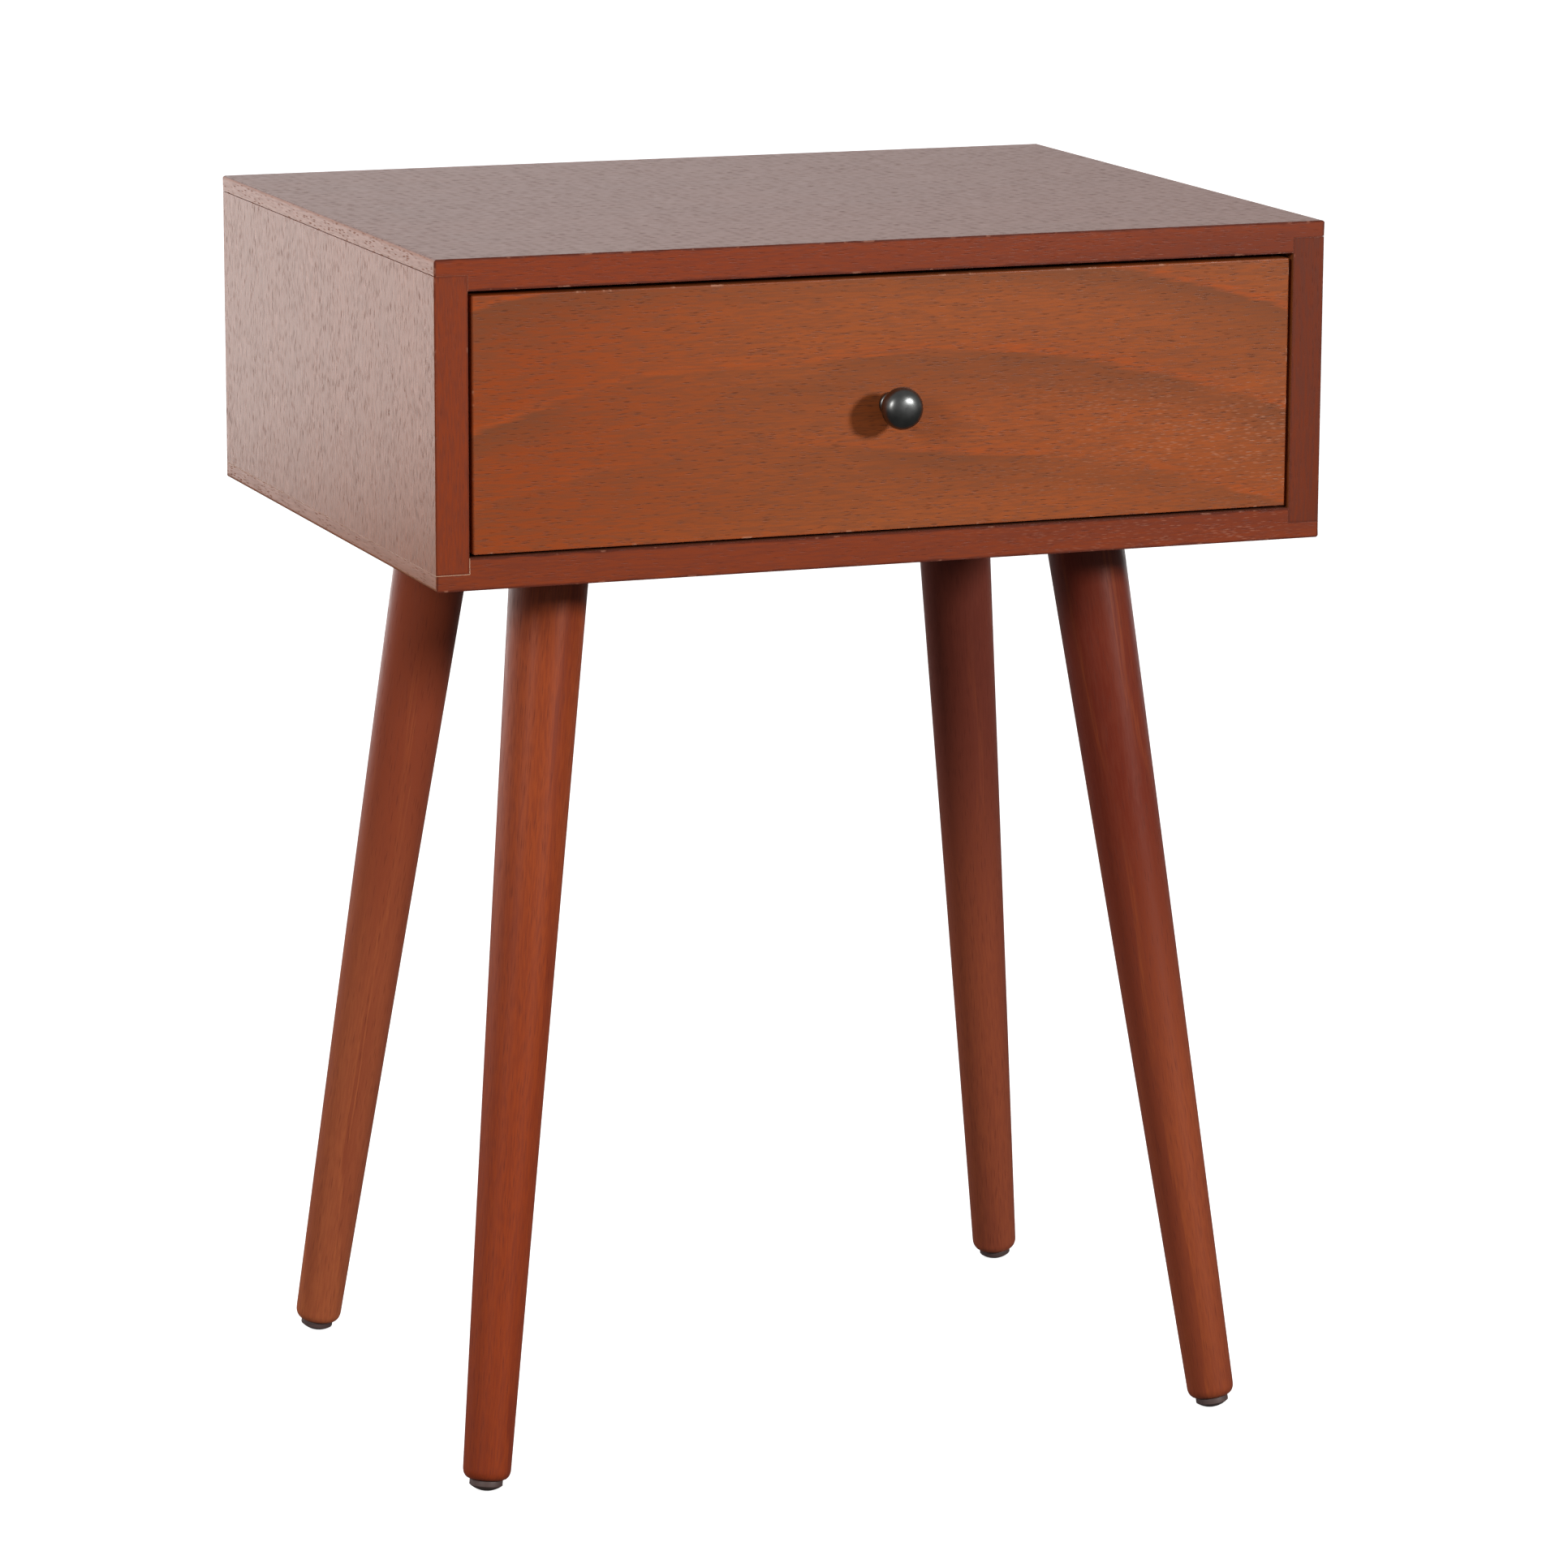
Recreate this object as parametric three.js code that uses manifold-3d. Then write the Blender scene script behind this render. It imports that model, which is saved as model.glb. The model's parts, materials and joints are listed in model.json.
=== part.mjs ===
// A side table with one drawer: a veneered case on four splayed, tapered legs.
// Millimetres, +Z up, the drawer opens towards -Y. The origin is on the floor, under the middle of the
// table's outer box, knob included. Every solid keeps FIT to the solids that it touches.

import * as THREE from 'three';
import { mergeVertices } from 'three/addons/utils/BufferGeometryUtils.js';
import Module from 'manifold-3d';

const wasm = await Module();
wasm.setup();

// ---------------------------------------------------------------- driving dimensions

const FIT = 0.3; // gap between two solids that touch
const PAST = 1; // how far a cutting tool runs past the face that it cuts

// Case
const WIDTH = 500;
const DEPTH = 390;
const HEIGHT = 670;
const CASE_HEIGHT = 172;
const SIDE_THICK = 18;
const PANEL_THICK = 17; // top and bottom panels
const EDGE_ROUND = 2; // end edges of the top and bottom panels
const BACK_THICK = 4.4;
const BACK_RABBET_WIDE = 7; // how far the back panel overlaps the panels round it
const BACK_RABBET_DEEP = 5.5;
const PIN_FROM_CORNER = 30;

// Drawer
const DRAWER_FRONT_THICK = 17;
const DRAWER_RECESS = 0.3; // drawer front behind the case's front edges
const DRAWER_GAP_SIDE = 2.25;
const DRAWER_GAP_TOP = 2.5;
const DRAWER_GAP_BOTTOM = 1.5;
const DRAWER_WALL = 12; // sides and back of the drawer box
const DRAWER_WALL_HEIGHT = 100;
const DRAWER_WALL_RISE = 10; // drawer sides above the case floor
const DRAWER_BOTTOM_THICK = 4;
const GROOVE_DEEP = 6;
const GROOVE_RISE = 10; // drawer bottom above the lower edge of the drawer sides

// Slides: a channel on the case and an angled rail on the drawer, with one nylon roller each
const SLIDE_GAP = 12.7; // between case wall and drawer side
const SLIDE_LENGTH = 350;
const RAIL_SETBACK = 2; // rails behind the front end of the drawer sides
const SHEET = 1.2; // steel sheet of the slides
const CHANNEL_RISE = 3; // channel above the case floor
const CHANNEL_INNER_HEIGHT = 24.6;
const CHANNEL_REACH = 9.8; // channel flanges, from the case wall
const RUNNER_TO_WALL = 3.4; // tip of the drawer rail's flange, from the case wall
const ROLLER_WIDE = 6;
const ROLLER_EDGE = 0.8;
const ROLLER_INSET = 14; // roller axle from the end of its rail
const ROLLER_ROOM = 3; // between the drawer's roller and the end of the flange ahead of it
const CASE_ROLLER_RADIUS = 10.8;
const CASE_ROLLER_RISE = 0.5; // case roller above the channel's floor
const DRAWER_ROLLER_RADIUS = 12;
const AXLE_RADIUS = 2.5;
const AXLE_PLAY = 0.5;
const RIVET_RIM = 1.5;
const RIVET_HIGH = 0.8;
const SLIDE_SCREW_Y = [['front', -120], ['rear', 120]];
const DRAWER_SCREW_FROM_WALL = 17; // screws under the drawer side, from the case wall

// Legs
const CORNERS = [
  ['front_left', -1, -1],
  ['front_right', 1, -1],
  ['rear_left', -1, 1],
  ['rear_right', 1, 1],
];
const LEG_TOP_X = 154; // where the leg's axis meets the underside of the case
const LEG_TOP_Y = 95;
const FOOT_X = 214.5; // where the leg's axis meets the floor
const FOOT_Y = 158;
const LEG_RADIUS_TOP = 21.5;
const LEG_RADIUS_FLOOR = 12.8;
const LEG_TOP_DROP = 7; // middle of the leg's top face below the case
const LEG_TOP_CHAMFER = 1;
const LEG_FOOT_RISE = 6.3; // wood above the point where the axis meets the floor
const LEG_FOOT_ROUND = { inward: 3.8, upward: 5.5 };
const GLIDE_RADIUS = 9;
const GLIDE_DOME_RADIUS = 14;
const GLIDE_FLAT = 0.5; // how much of the dome the floor flattens
const NAIL_RADIUS = 1.4;
const NAIL_LONG = 16;
const NAIL_TIP = 3;

// Leg plates and bolts
const PLATE_RADIUS = 33;
const PLATE_THICK = 2;
const BOSS_RADIUS = 17;
const BOLT_RADIUS = 3.9;
const BOLT_IN_LEG = 38;
const BOLT_PAST_LEG = 17;
const BOLT_TIP = 6;
const BOLT_POCKET_RADIUS = 9;
const BOLT_POCKET_DEEP = 13;
const PLATE_SCREW_CIRCLE = 27;
const PLATE_SCREW_TURNS = [60, 180, 300]; // degrees from the way the leg leans, clear of the leg

// Screws and pins
const BACK_PIN = { headRadius: 2.8, headHigh: 0.5, radius: 1, long: 18, tip: 2 };
const CASE_RAIL_SCREW = { headRadius: 3.6, headHigh: 1.2, radius: 1.7, long: 14, tip: 3 };
const DRAWER_RAIL_SCREW = { headRadius: 3.6, headHigh: 1.2, radius: 1.7, long: 9, tip: 3 };
const PLATE_SCREW = { headRadius: 3.8, headHigh: 2.2, radius: 2, long: 14, tip: 4 };
const KNOB_SCREW = { headRadius: 4.6, headHigh: 2.4, radius: 1.9, long: 26.6, tip: 0.8 };

// Knob
const KNOB_LENGTH = 25;
const KNOB_BASE_RADIUS = 6.6;
const KNOB_BASE_THICK = 2.4;
const KNOB_BASE_EDGE = 0.6;
const KNOB_NECK_RADIUS = 4.2;
const KNOB_HEAD_RADIUS = 11.2;
const KNOB_HEAD_HALF = 8; // half of the head's thickness
const KNOB_NECK_TURN = -58; // where the neck runs into the round back of the head, in degrees
const KNOB_BORE_DEEP = 11;

// Sides of the round shapes
const SMALL_SIDES = 12;
const BORE_SIDES = 16;
const GLIDE_SIDES = 24;
const KNOB_SIDES = 28;
const WIDE_SIDES = 32;

// ---------------------------------------------------------------- places that follow from them

const CASE_UNDER = HEIGHT - CASE_HEIGHT;
const CASE_FLOOR = CASE_UNDER + PANEL_THICK;
const CASE_CEILING = HEIGHT - PANEL_THICK;
const CASE_FRONT = -DEPTH / 2;
const CASE_BACK = DEPTH / 2;
const CASE_HALF = WIDTH / 2;
const WALL = CASE_HALF - SIDE_THICK; // inner face of a side panel
const CORNER_RABBET = PANEL_THICK / 2; // each corner of the case is a half-thickness rabbet
const PIN_X = WALL + BACK_RABBET_WIDE / 2;
const PIN_Z = [['lower', CASE_FLOOR + PIN_FROM_CORNER], ['upper', CASE_CEILING - PIN_FROM_CORNER]];

const DRAWER_FRONT_Y = CASE_FRONT + DRAWER_RECESS;
const DRAWER_FRONT_BACK = DRAWER_FRONT_Y + DRAWER_FRONT_THICK;
const DRAWER_FRONT_LOW = CASE_FLOOR + DRAWER_GAP_BOTTOM;
const DRAWER_FRONT_HIGH = CASE_CEILING - DRAWER_GAP_TOP;
const DRAWER_SIDE_OUT = WALL - SLIDE_GAP;
const DRAWER_SIDE_IN = DRAWER_SIDE_OUT - DRAWER_WALL;
const DRAWER_LOW = CASE_FLOOR + DRAWER_WALL_RISE;
const DRAWER_HIGH = DRAWER_LOW + DRAWER_WALL_HEIGHT;
const BOX_FRONT = DRAWER_FRONT_BACK + FIT;
const BOX_BACK = BOX_FRONT + SLIDE_LENGTH;
const BOTTOM_LOW = DRAWER_LOW + GROOVE_RISE;
const BOTTOM_HIGH = BOTTOM_LOW + DRAWER_BOTTOM_THICK;
const GROOVE_Z = [BOTTOM_LOW - FIT, BOTTOM_HIGH + FIT];
const GROOVE_X = DRAWER_SIDE_IN + GROOVE_DEEP;
const KNOB_Z = (DRAWER_FRONT_LOW + DRAWER_FRONT_HIGH) / 2;

const RAIL_FRONT = BOX_FRONT + RAIL_SETBACK;
const RAIL_BACK = BOX_BACK;
const CHANNEL_LOW = CASE_FLOOR + CHANNEL_RISE;
const CHANNEL_INNER_LOW = CHANNEL_LOW + SHEET;
const CHANNEL_INNER_HIGH = CHANNEL_INNER_LOW + CHANNEL_INNER_HEIGHT;
const CHANNEL_HIGH = CHANNEL_INNER_HIGH + SHEET;
const CHANNEL_TIP = WALL - CHANNEL_REACH;
const ROLLER_X = [CHANNEL_TIP, CHANNEL_TIP + ROLLER_WIDE];
const CASE_ROLLER_Y = RAIL_FRONT + ROLLER_INSET;
const CASE_ROLLER_Z = CHANNEL_INNER_LOW + CASE_ROLLER_RISE + CASE_ROLLER_RADIUS;
const DRAWER_ROLLER_Y = RAIL_BACK - ROLLER_INSET;
const DRAWER_ROLLER_Z = (CHANNEL_INNER_LOW + CHANNEL_INNER_HIGH) / 2;
const RUNNER_LOW = CASE_ROLLER_Z + CASE_ROLLER_RADIUS + FIT; // the drawer rail runs on the case roller
const RAIL_FOOT_LOW = DRAWER_LOW - FIT - SHEET;

const LEAN_X = FOOT_X - LEG_TOP_X;
const LEAN_Y = FOOT_Y - LEG_TOP_Y;
const SPLAY_AZIMUTH = Math.atan2(LEAN_Y, LEAN_X);
const SPLAY = Math.atan(Math.hypot(LEAN_X, LEAN_Y) / CASE_UNDER);
const AXIS_TOP = CASE_UNDER / Math.cos(SPLAY); // from the floor to the case, along the leg's axis
const LEG_TOP = (CASE_UNDER - LEG_TOP_DROP) / Math.cos(SPLAY);
const GLIDE_TOP = LEG_FOOT_RISE - FIT;
const PLATE_LOW = CASE_UNDER - FIT - PLATE_THICK;
const PLATE_SCREW_IN_CASE = PLATE_SCREW.long - PLATE_THICK;

// ---------------------------------------------------------------- shape helpers

// A closed three.js geometry as a manifold-3d solid.
function solid(geometry) {
  const bare = geometry.clone();
  bare.deleteAttribute('normal');
  bare.deleteAttribute('uv');
  const merged = mergeVertices(bare);
  return new wasm.Manifold(new wasm.Mesh({
    numProp: 3,
    vertProperties: new Float32Array(merged.attributes.position.array),
    triVerts: new Uint32Array(merged.index.array),
  }));
}

// A manifold-3d solid as a three.js geometry.
function geometryOf(made) {
  const mesh = made.getMesh();
  return new THREE.BufferGeometry()
    .setAttribute('position', new THREE.BufferAttribute(mesh.vertProperties, 3))
    .setIndex(new THREE.BufferAttribute(mesh.triVerts, 1));
}

function cut(base, ...tools) {
  return geometryOf(tools.reduce((made, tool) => made.subtract(solid(tool)), solid(base)));
}

function join(base, ...others) {
  return geometryOf(others.reduce((made, other) => made.add(solid(other)), solid(base)));
}

// A box from its [low, high] along each axis.
function box(x, y, z) {
  return new THREE.BoxGeometry(x[1] - x[0], y[1] - y[0], z[1] - z[0])
    .translate((x[0] + x[1]) / 2, (y[0] + y[1]) / 2, (z[0] + z[1]) / 2);
}

// A profile of [radius, height] points turned about Z, from the lowest height to the highest.
function turned(profile, sides) {
  const points = profile.map(([radius, height]) => new THREE.Vector2(radius, height));
  return new THREE.LatheGeometry(points, sides).rotateX(Math.PI / 2);
}

// A rod about Z from z[0] to z[1].
function rod(radius, z, sides = SMALL_SIDES) {
  return turned([[0, z[0]], [radius, z[0]], [radius, z[1]], [0, z[1]]], sides);
}

// A rod along X, about the line at y and z.
function rodX(radius, x, y, z, sides = SMALL_SIDES) {
  return rod(radius, x, sides).rotateY(Math.PI / 2).translate(0, y, z);
}

// A rod along Y, about the line at x and z.
function rodY(radius, x, y, z) {
  return rod(radius, [-y[1], -y[0]]).rotateX(Math.PI / 2).translate(x, 0, z);
}

// The radius of a SMALL_SIDES hole that leaves FIT round a shank of this radius.
function holeFor(radius) {
  return (radius + FIT) / Math.cos(Math.PI / SMALL_SIDES);
}

// A shape drawn in X and Z, extruded from y[0] to y[1].
function extrudedAlongY(shape, y) {
  return new THREE.ExtrudeGeometry(shape, { depth: y[1] - y[0], bevelEnabled: false, curveSegments: 4 })
    .rotateX(Math.PI / 2)
    .translate(0, y[1], 0);
}

function outline(points) {
  return new THREE.Shape(points.map(([x, z]) => new THREE.Vector2(x, z)));
}

// A screw or pin along +Z: its head lies under z = 0 and its shank goes up from there.
function fastener({ headRadius, headHigh, radius, long, tip }) {
  return turned([
    [0, -headHigh],
    [headRadius * 0.6, -headHigh],
    [headRadius, -headHigh / 2],
    [headRadius, 0],
    [radius, 0],
    [radius, long - tip],
    [0, long],
  ], SMALL_SIDES);
}

// ---------------------------------------------------------------- materials

function material(color, roughness, metalness) {
  return new THREE.MeshStandardMaterial({ color, roughness, metalness });
}

const CASE_VENEER = material(0x7a3d24, 0.42, 0);
const DRAWER_VENEER = material(0x8f4a28, 0.42, 0);
const LEG_WOOD = material(0x7c3420, 0.36, 0);
const BOX_WOOD = material(0xc9a070, 0.6, 0);
const BACK_BOARD = material(0x5b3322, 0.7, 0);
const GUNMETAL = material(0x34373a, 0.3, 0.9);
const ZINC = material(0xb4b6b8, 0.35, 0.9);
const SLIDE_ENAMEL = material(0xe6e4de, 0.4, 0.1);
const NYLON = material(0xf0eee8, 0.5, 0);
const GLIDE_PLASTIC = material(0x2b2625, 0.7, 0);

function piece(name, geometry, finish) {
  const mesh = new THREE.Mesh(geometry, finish);
  mesh.name = name;
  return mesh;
}

// ---------------------------------------------------------------- case

// The section of the top or bottom panel: full thickness between the sides and half of it over them.
// outer is the height of its outer face and inward the way to the inside, +1 up or -1 down.
function rabbetedSection(outer, inward) {
  const shoulder = WALL - FIT;
  const land = outer + inward * CORNER_RABBET;
  const inner = outer + inward * PANEL_THICK;
  const rounded = outer + inward * EDGE_ROUND;
  const shape = new THREE.Shape();
  shape.moveTo(-shoulder, inner);
  shape.lineTo(-shoulder, land);
  shape.lineTo(-CASE_HALF, land);
  shape.lineTo(-CASE_HALF, rounded);
  shape.quadraticCurveTo(-CASE_HALF, outer, -CASE_HALF + EDGE_ROUND, outer);
  shape.lineTo(CASE_HALF - EDGE_ROUND, outer);
  shape.quadraticCurveTo(CASE_HALF, outer, CASE_HALF, rounded);
  shape.lineTo(CASE_HALF, land);
  shape.lineTo(shoulder, land);
  shape.lineTo(shoulder, inner);
  shape.closePath();
  return extrudedAlongY(shape, [CASE_FRONT, CASE_BACK]);
}

// What the back panel's rabbet takes out of the panels round it, at these widths and heights.
function backRabbet(x, z) {
  return box(x, [CASE_BACK - BACK_RABBET_DEEP, CASE_BACK + PAST], z);
}

const ACROSS_CASE = [-CASE_HALF - PAST, CASE_HALF + PAST];

function topPanel() {
  const rabbet = backRabbet(ACROSS_CASE, [CASE_CEILING - PAST, CASE_CEILING + BACK_RABBET_WIDE]);
  return cut(rabbetedSection(HEIGHT, -1), rabbet);
}

// The bottom panel has a blind pocket over each leg's bolt and pilot holes for the plate screws.
function bottomPanel() {
  const rabbet = backRabbet(ACROSS_CASE, [CASE_FLOOR - BACK_RABBET_WIDE, CASE_FLOOR + PAST]);
  const pocketZ = [CASE_UNDER - PAST, CASE_UNDER + BOLT_POCKET_DEEP];
  const pilotZ = [CASE_UNDER - PAST, CASE_UNDER + PLATE_SCREW_IN_CASE + PAST];
  const holes = [];
  for (const [, sideX, sideY] of CORNERS) {
    holes.push(rod(BOLT_POCKET_RADIUS, pocketZ, BORE_SIDES)
      .translate(sideX * LEG_TOP_X, sideY * LEG_TOP_Y, 0));
    for (const [x, y] of plateScrewPlaces()) {
      holes.push(rod(holeFor(PLATE_SCREW.radius), pilotZ).translate(sideX * x, sideY * y, 0));
    }
  }
  return cut(rabbetedSection(CASE_UNDER, 1), rabbet, ...holes);
}

function sidePanel() {
  const z = [CASE_UNDER + CORNER_RABBET + FIT, HEIGHT - CORNER_RABBET - FIT];
  const panel = box([WALL, CASE_HALF], [CASE_FRONT, CASE_BACK], z);
  const rabbet = backRabbet([WALL - PAST, WALL + BACK_RABBET_WIDE], [z[0] - PAST, z[1] + PAST]);
  const pinHoles = PIN_Z.map(([, pinZ]) =>
    rodY(holeFor(BACK_PIN.radius), PIN_X, [CASE_BACK - BACK_PIN.long - PAST, CASE_BACK + PAST], pinZ));
  const screwHoles = SLIDE_SCREW_Y.map(([, y]) =>
    rodX(holeFor(CASE_RAIL_SCREW.radius), [WALL - PAST, WALL + CASE_RAIL_SCREW.long], y, DRAWER_ROLLER_Z));
  return cut(panel, rabbet, ...pinHoles, ...screwHoles);
}

function backPanel() {
  const overlap = BACK_RABBET_WIDE - FIT;
  const front = CASE_BACK - BACK_RABBET_DEEP + FIT;
  const y = [front, front + BACK_THICK];
  const board = box([-WALL - overlap, WALL + overlap], y, [CASE_FLOOR - overlap, CASE_CEILING + overlap]);
  const pinHoles = [-1, 1].flatMap((side) => PIN_Z.map(([, z]) =>
    rodY(holeFor(BACK_PIN.radius), side * PIN_X, [y[0] - PAST, y[1] + PAST], z)));
  return cut(board, ...pinHoles);
}

// ---------------------------------------------------------------- legs and their plates

// The plate screws of the corner at +X +Y, as [x, y].
function plateScrewPlaces() {
  return PLATE_SCREW_TURNS.map((degrees) => {
    const angle = SPLAY_AZIMUTH + THREE.MathUtils.degToRad(degrees);
    return [
      LEG_TOP_X + PLATE_SCREW_CIRCLE * Math.cos(angle),
      LEG_TOP_Y + PLATE_SCREW_CIRCLE * Math.sin(angle),
    ];
  });
}

// The taper's radius at a distance along the axis from the floor.
function legRadius(along) {
  return LEG_RADIUS_FLOOR + (LEG_RADIUS_TOP - LEG_RADIUS_FLOOR) * along / AXIS_TOP;
}

// The leg about its own axis, with bores for the glide's nail and the hanger bolt.
function leg() {
  const { inward, upward } = LEG_FOOT_ROUND;
  const shoulder = legRadius(LEG_FOOT_RISE + upward);
  const profile = [[0, LEG_FOOT_RISE]];
  for (const degrees of [0, 30, 60, 90]) {
    const turn = THREE.MathUtils.degToRad(degrees);
    profile.push([
      shoulder - inward * (1 - Math.sin(turn)),
      LEG_FOOT_RISE + upward * (1 - Math.cos(turn)),
    ]);
  }
  const chamferLow = LEG_TOP - LEG_TOP_CHAMFER;
  profile.push([legRadius(chamferLow), chamferLow]);
  profile.push([legRadius(LEG_TOP) - LEG_TOP_CHAMFER, LEG_TOP]);
  profile.push([0, LEG_TOP]);
  const nailBore = rod(holeFor(NAIL_RADIUS), [LEG_FOOT_RISE - PAST, LEG_FOOT_RISE + NAIL_LONG + PAST]);
  const boltBore = rod(holeFor(BOLT_RADIUS), [LEG_TOP - BOLT_IN_LEG - PAST, LEG_TOP + PAST]);
  return cut(turned(profile, WIDE_SIDES), nailBore, boltBore);
}

// The glide: a domed pad with its nail. The floor flattens the dome, level under the leaning leg.
function footGlide() {
  const domeMiddle = (GLIDE_DOME_RADIUS - GLIDE_FLAT) / Math.cos(SPLAY);
  const domeTurn = Math.asin(GLIDE_RADIUS / GLIDE_DOME_RADIUS);
  const rings = 4;
  const profile = [];
  for (let ring = 0; ring <= rings; ring += 1) {
    const turn = domeTurn * ring / rings;
    profile.push([
      GLIDE_DOME_RADIUS * Math.sin(turn),
      domeMiddle - GLIDE_DOME_RADIUS * Math.cos(turn),
    ]);
  }
  profile.push([GLIDE_RADIUS, GLIDE_TOP]);
  profile.push([NAIL_RADIUS, GLIDE_TOP]);
  profile.push([NAIL_RADIUS, GLIDE_TOP + NAIL_LONG - NAIL_TIP]);
  profile.push([0, GLIDE_TOP + NAIL_LONG]);
  const reach = GLIDE_RADIUS * 2;
  const underFloor = box([-reach, reach], [-reach, reach], [-reach, 0]).rotateY(SPLAY);
  return cut(turned(profile, GLIDE_SIDES), underFloor);
}

// The hanger bolt: its lower end in the leg, its upper end through the plate's boss.
function hangerBolt() {
  const low = LEG_TOP - BOLT_IN_LEG;
  const high = LEG_TOP + BOLT_PAST_LEG;
  return turned([
    [0, low],
    [BOLT_RADIUS, low + BOLT_TIP],
    [BOLT_RADIUS, high - LEG_TOP_CHAMFER],
    [BOLT_RADIUS - LEG_TOP_CHAMFER, high],
    [0, high],
  ], BORE_SIDES);
}

// Moves a geometry made about the leg's axis into the plate's frame, which stands upright under the
// point where that axis meets the case, with the leg's lean along +X.
function alongLeg(geometry) {
  return geometry.translate(0, 0, -AXIS_TOP).rotateY(-SPLAY).translate(0, 0, CASE_UNDER);
}

// The plate lies flat under the case. Its boss is cut square to the leg and holds the bolt's thread.
function legPlate() {
  const plate = rod(PLATE_RADIUS, [PLATE_LOW, PLATE_LOW + PLATE_THICK], WIDE_SIDES);
  const boss = rod(BOSS_RADIUS, [PLATE_LOW - 2 * LEG_TOP_DROP, PLATE_LOW + PLATE_THICK / 2], GLIDE_SIDES);
  const reach = 2 * PLATE_RADIUS;
  const legSide = alongLeg(box([-reach, reach], [-reach, reach], [LEG_TOP - reach, LEG_TOP + FIT]));
  const boltHole = alongLeg(rod(holeFor(BOLT_RADIUS), [LEG_TOP - PAST, AXIS_TOP + LEG_TOP_DROP]));
  const screwHoles = PLATE_SCREW_TURNS.map((degrees) => {
    const angle = THREE.MathUtils.degToRad(degrees);
    return rod(holeFor(PLATE_SCREW.radius), [PLATE_LOW - PAST, PLATE_LOW + PLATE_THICK + PAST])
      .translate(PLATE_SCREW_CIRCLE * Math.cos(angle), PLATE_SCREW_CIRCLE * Math.sin(angle), 0);
  });
  return cut(join(plate, cut(boss, legSide)), boltHole, ...screwHoles);
}

// ---------------------------------------------------------------- slides, on the right side

// The channel on the case wall, with the rivet that carries its front roller.
function caseRail() {
  const back = WALL - FIT;
  const web = back - SHEET;
  const channel = extrudedAlongY(outline([
    [back, CHANNEL_LOW],
    [back, CHANNEL_HIGH],
    [CHANNEL_TIP, CHANNEL_HIGH],
    [CHANNEL_TIP, CHANNEL_INNER_HIGH],
    [web, CHANNEL_INNER_HIGH],
    [web, CHANNEL_INNER_LOW],
    [CHANNEL_TIP, CHANNEL_INNER_LOW],
    [CHANNEL_TIP, CHANNEL_LOW],
  ]), [RAIL_FRONT, RAIL_BACK]);
  const headX = CHANNEL_TIP - FIT;
  const axle = rodX(AXLE_RADIUS, [headX, web + SHEET / 2], CASE_ROLLER_Y, CASE_ROLLER_Z, BORE_SIDES);
  const head = rodX(AXLE_RADIUS + RIVET_RIM, [headX - RIVET_HIGH, headX], CASE_ROLLER_Y, CASE_ROLLER_Z,
    BORE_SIDES);
  const holes = SLIDE_SCREW_Y.map(([, y]) =>
    rodX(holeFor(CASE_RAIL_SCREW.radius), [web - PAST, back + PAST], y, DRAWER_ROLLER_Z));
  return cut(join(channel, axle, head), ...holes);
}

// The rail on the drawer: a foot under the drawer side, a web on its face and a flange that runs on the
// case roller. The flange stops ahead of the rail's own rear roller.
function drawerRail() {
  const webIn = DRAWER_SIDE_OUT + FIT;
  const webOut = webIn + SHEET;
  const footTip = DRAWER_SIDE_IN + PAST;
  const runnerTip = WALL - RUNNER_TO_WALL;
  const rail = extrudedAlongY(outline([
    [footTip, RAIL_FOOT_LOW],
    [webOut, RAIL_FOOT_LOW],
    [webOut, RUNNER_LOW],
    [runnerTip, RUNNER_LOW],
    [runnerTip, RUNNER_LOW + SHEET],
    [webIn, RUNNER_LOW + SHEET],
    [webIn, RAIL_FOOT_LOW + SHEET],
    [footTip, RAIL_FOOT_LOW + SHEET],
  ]), [RAIL_FRONT, RAIL_BACK]);
  const roomFront = DRAWER_ROLLER_Y - DRAWER_ROLLER_RADIUS - ROLLER_ROOM;
  const rollerRoom = box([webOut, WALL], [roomFront, RAIL_BACK + PAST],
    [RUNNER_LOW - PAST, RUNNER_LOW + SHEET + PAST]);
  const axle = rodX(AXLE_RADIUS, [webIn + SHEET / 2, ROLLER_X[1] + FIT], DRAWER_ROLLER_Y, DRAWER_ROLLER_Z,
    BORE_SIDES);
  const holes = SLIDE_SCREW_Y.map(([, y]) =>
    rod(holeFor(DRAWER_RAIL_SCREW.radius), [RAIL_FOOT_LOW - PAST, RAIL_FOOT_LOW + SHEET + PAST])
      .translate(WALL - DRAWER_SCREW_FROM_WALL, y, 0));
  return cut(join(cut(rail, rollerRoom), axle), ...holes);
}

// A roller with a running bore, along X.
function roller(radius, y, z) {
  const bore = AXLE_RADIUS + AXLE_PLAY;
  const [inner, outer] = ROLLER_X;
  return turned([
    [bore, inner],
    [radius - ROLLER_EDGE, inner],
    [radius, inner + ROLLER_EDGE],
    [radius, outer - ROLLER_EDGE],
    [radius - ROLLER_EDGE, outer],
    [bore, outer],
    [bore, inner],
  ], WIDE_SIDES).rotateY(Math.PI / 2).translate(0, y, z);
}

// ---------------------------------------------------------------- drawer

function drawerFront() {
  const reach = WALL - DRAWER_GAP_SIDE;
  const y = [DRAWER_FRONT_Y, DRAWER_FRONT_BACK];
  const board = box([-reach, reach], y, [DRAWER_FRONT_LOW, DRAWER_FRONT_HIGH]);
  const groove = box([-GROOVE_X, GROOVE_X], [y[1] - GROOVE_DEEP, y[1] + PAST], GROOVE_Z);
  const screwHole = rodY(holeFor(KNOB_SCREW.radius), 0, [y[0] - PAST, y[1] + PAST], KNOB_Z);
  return cut(board, groove, screwHole);
}

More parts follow.
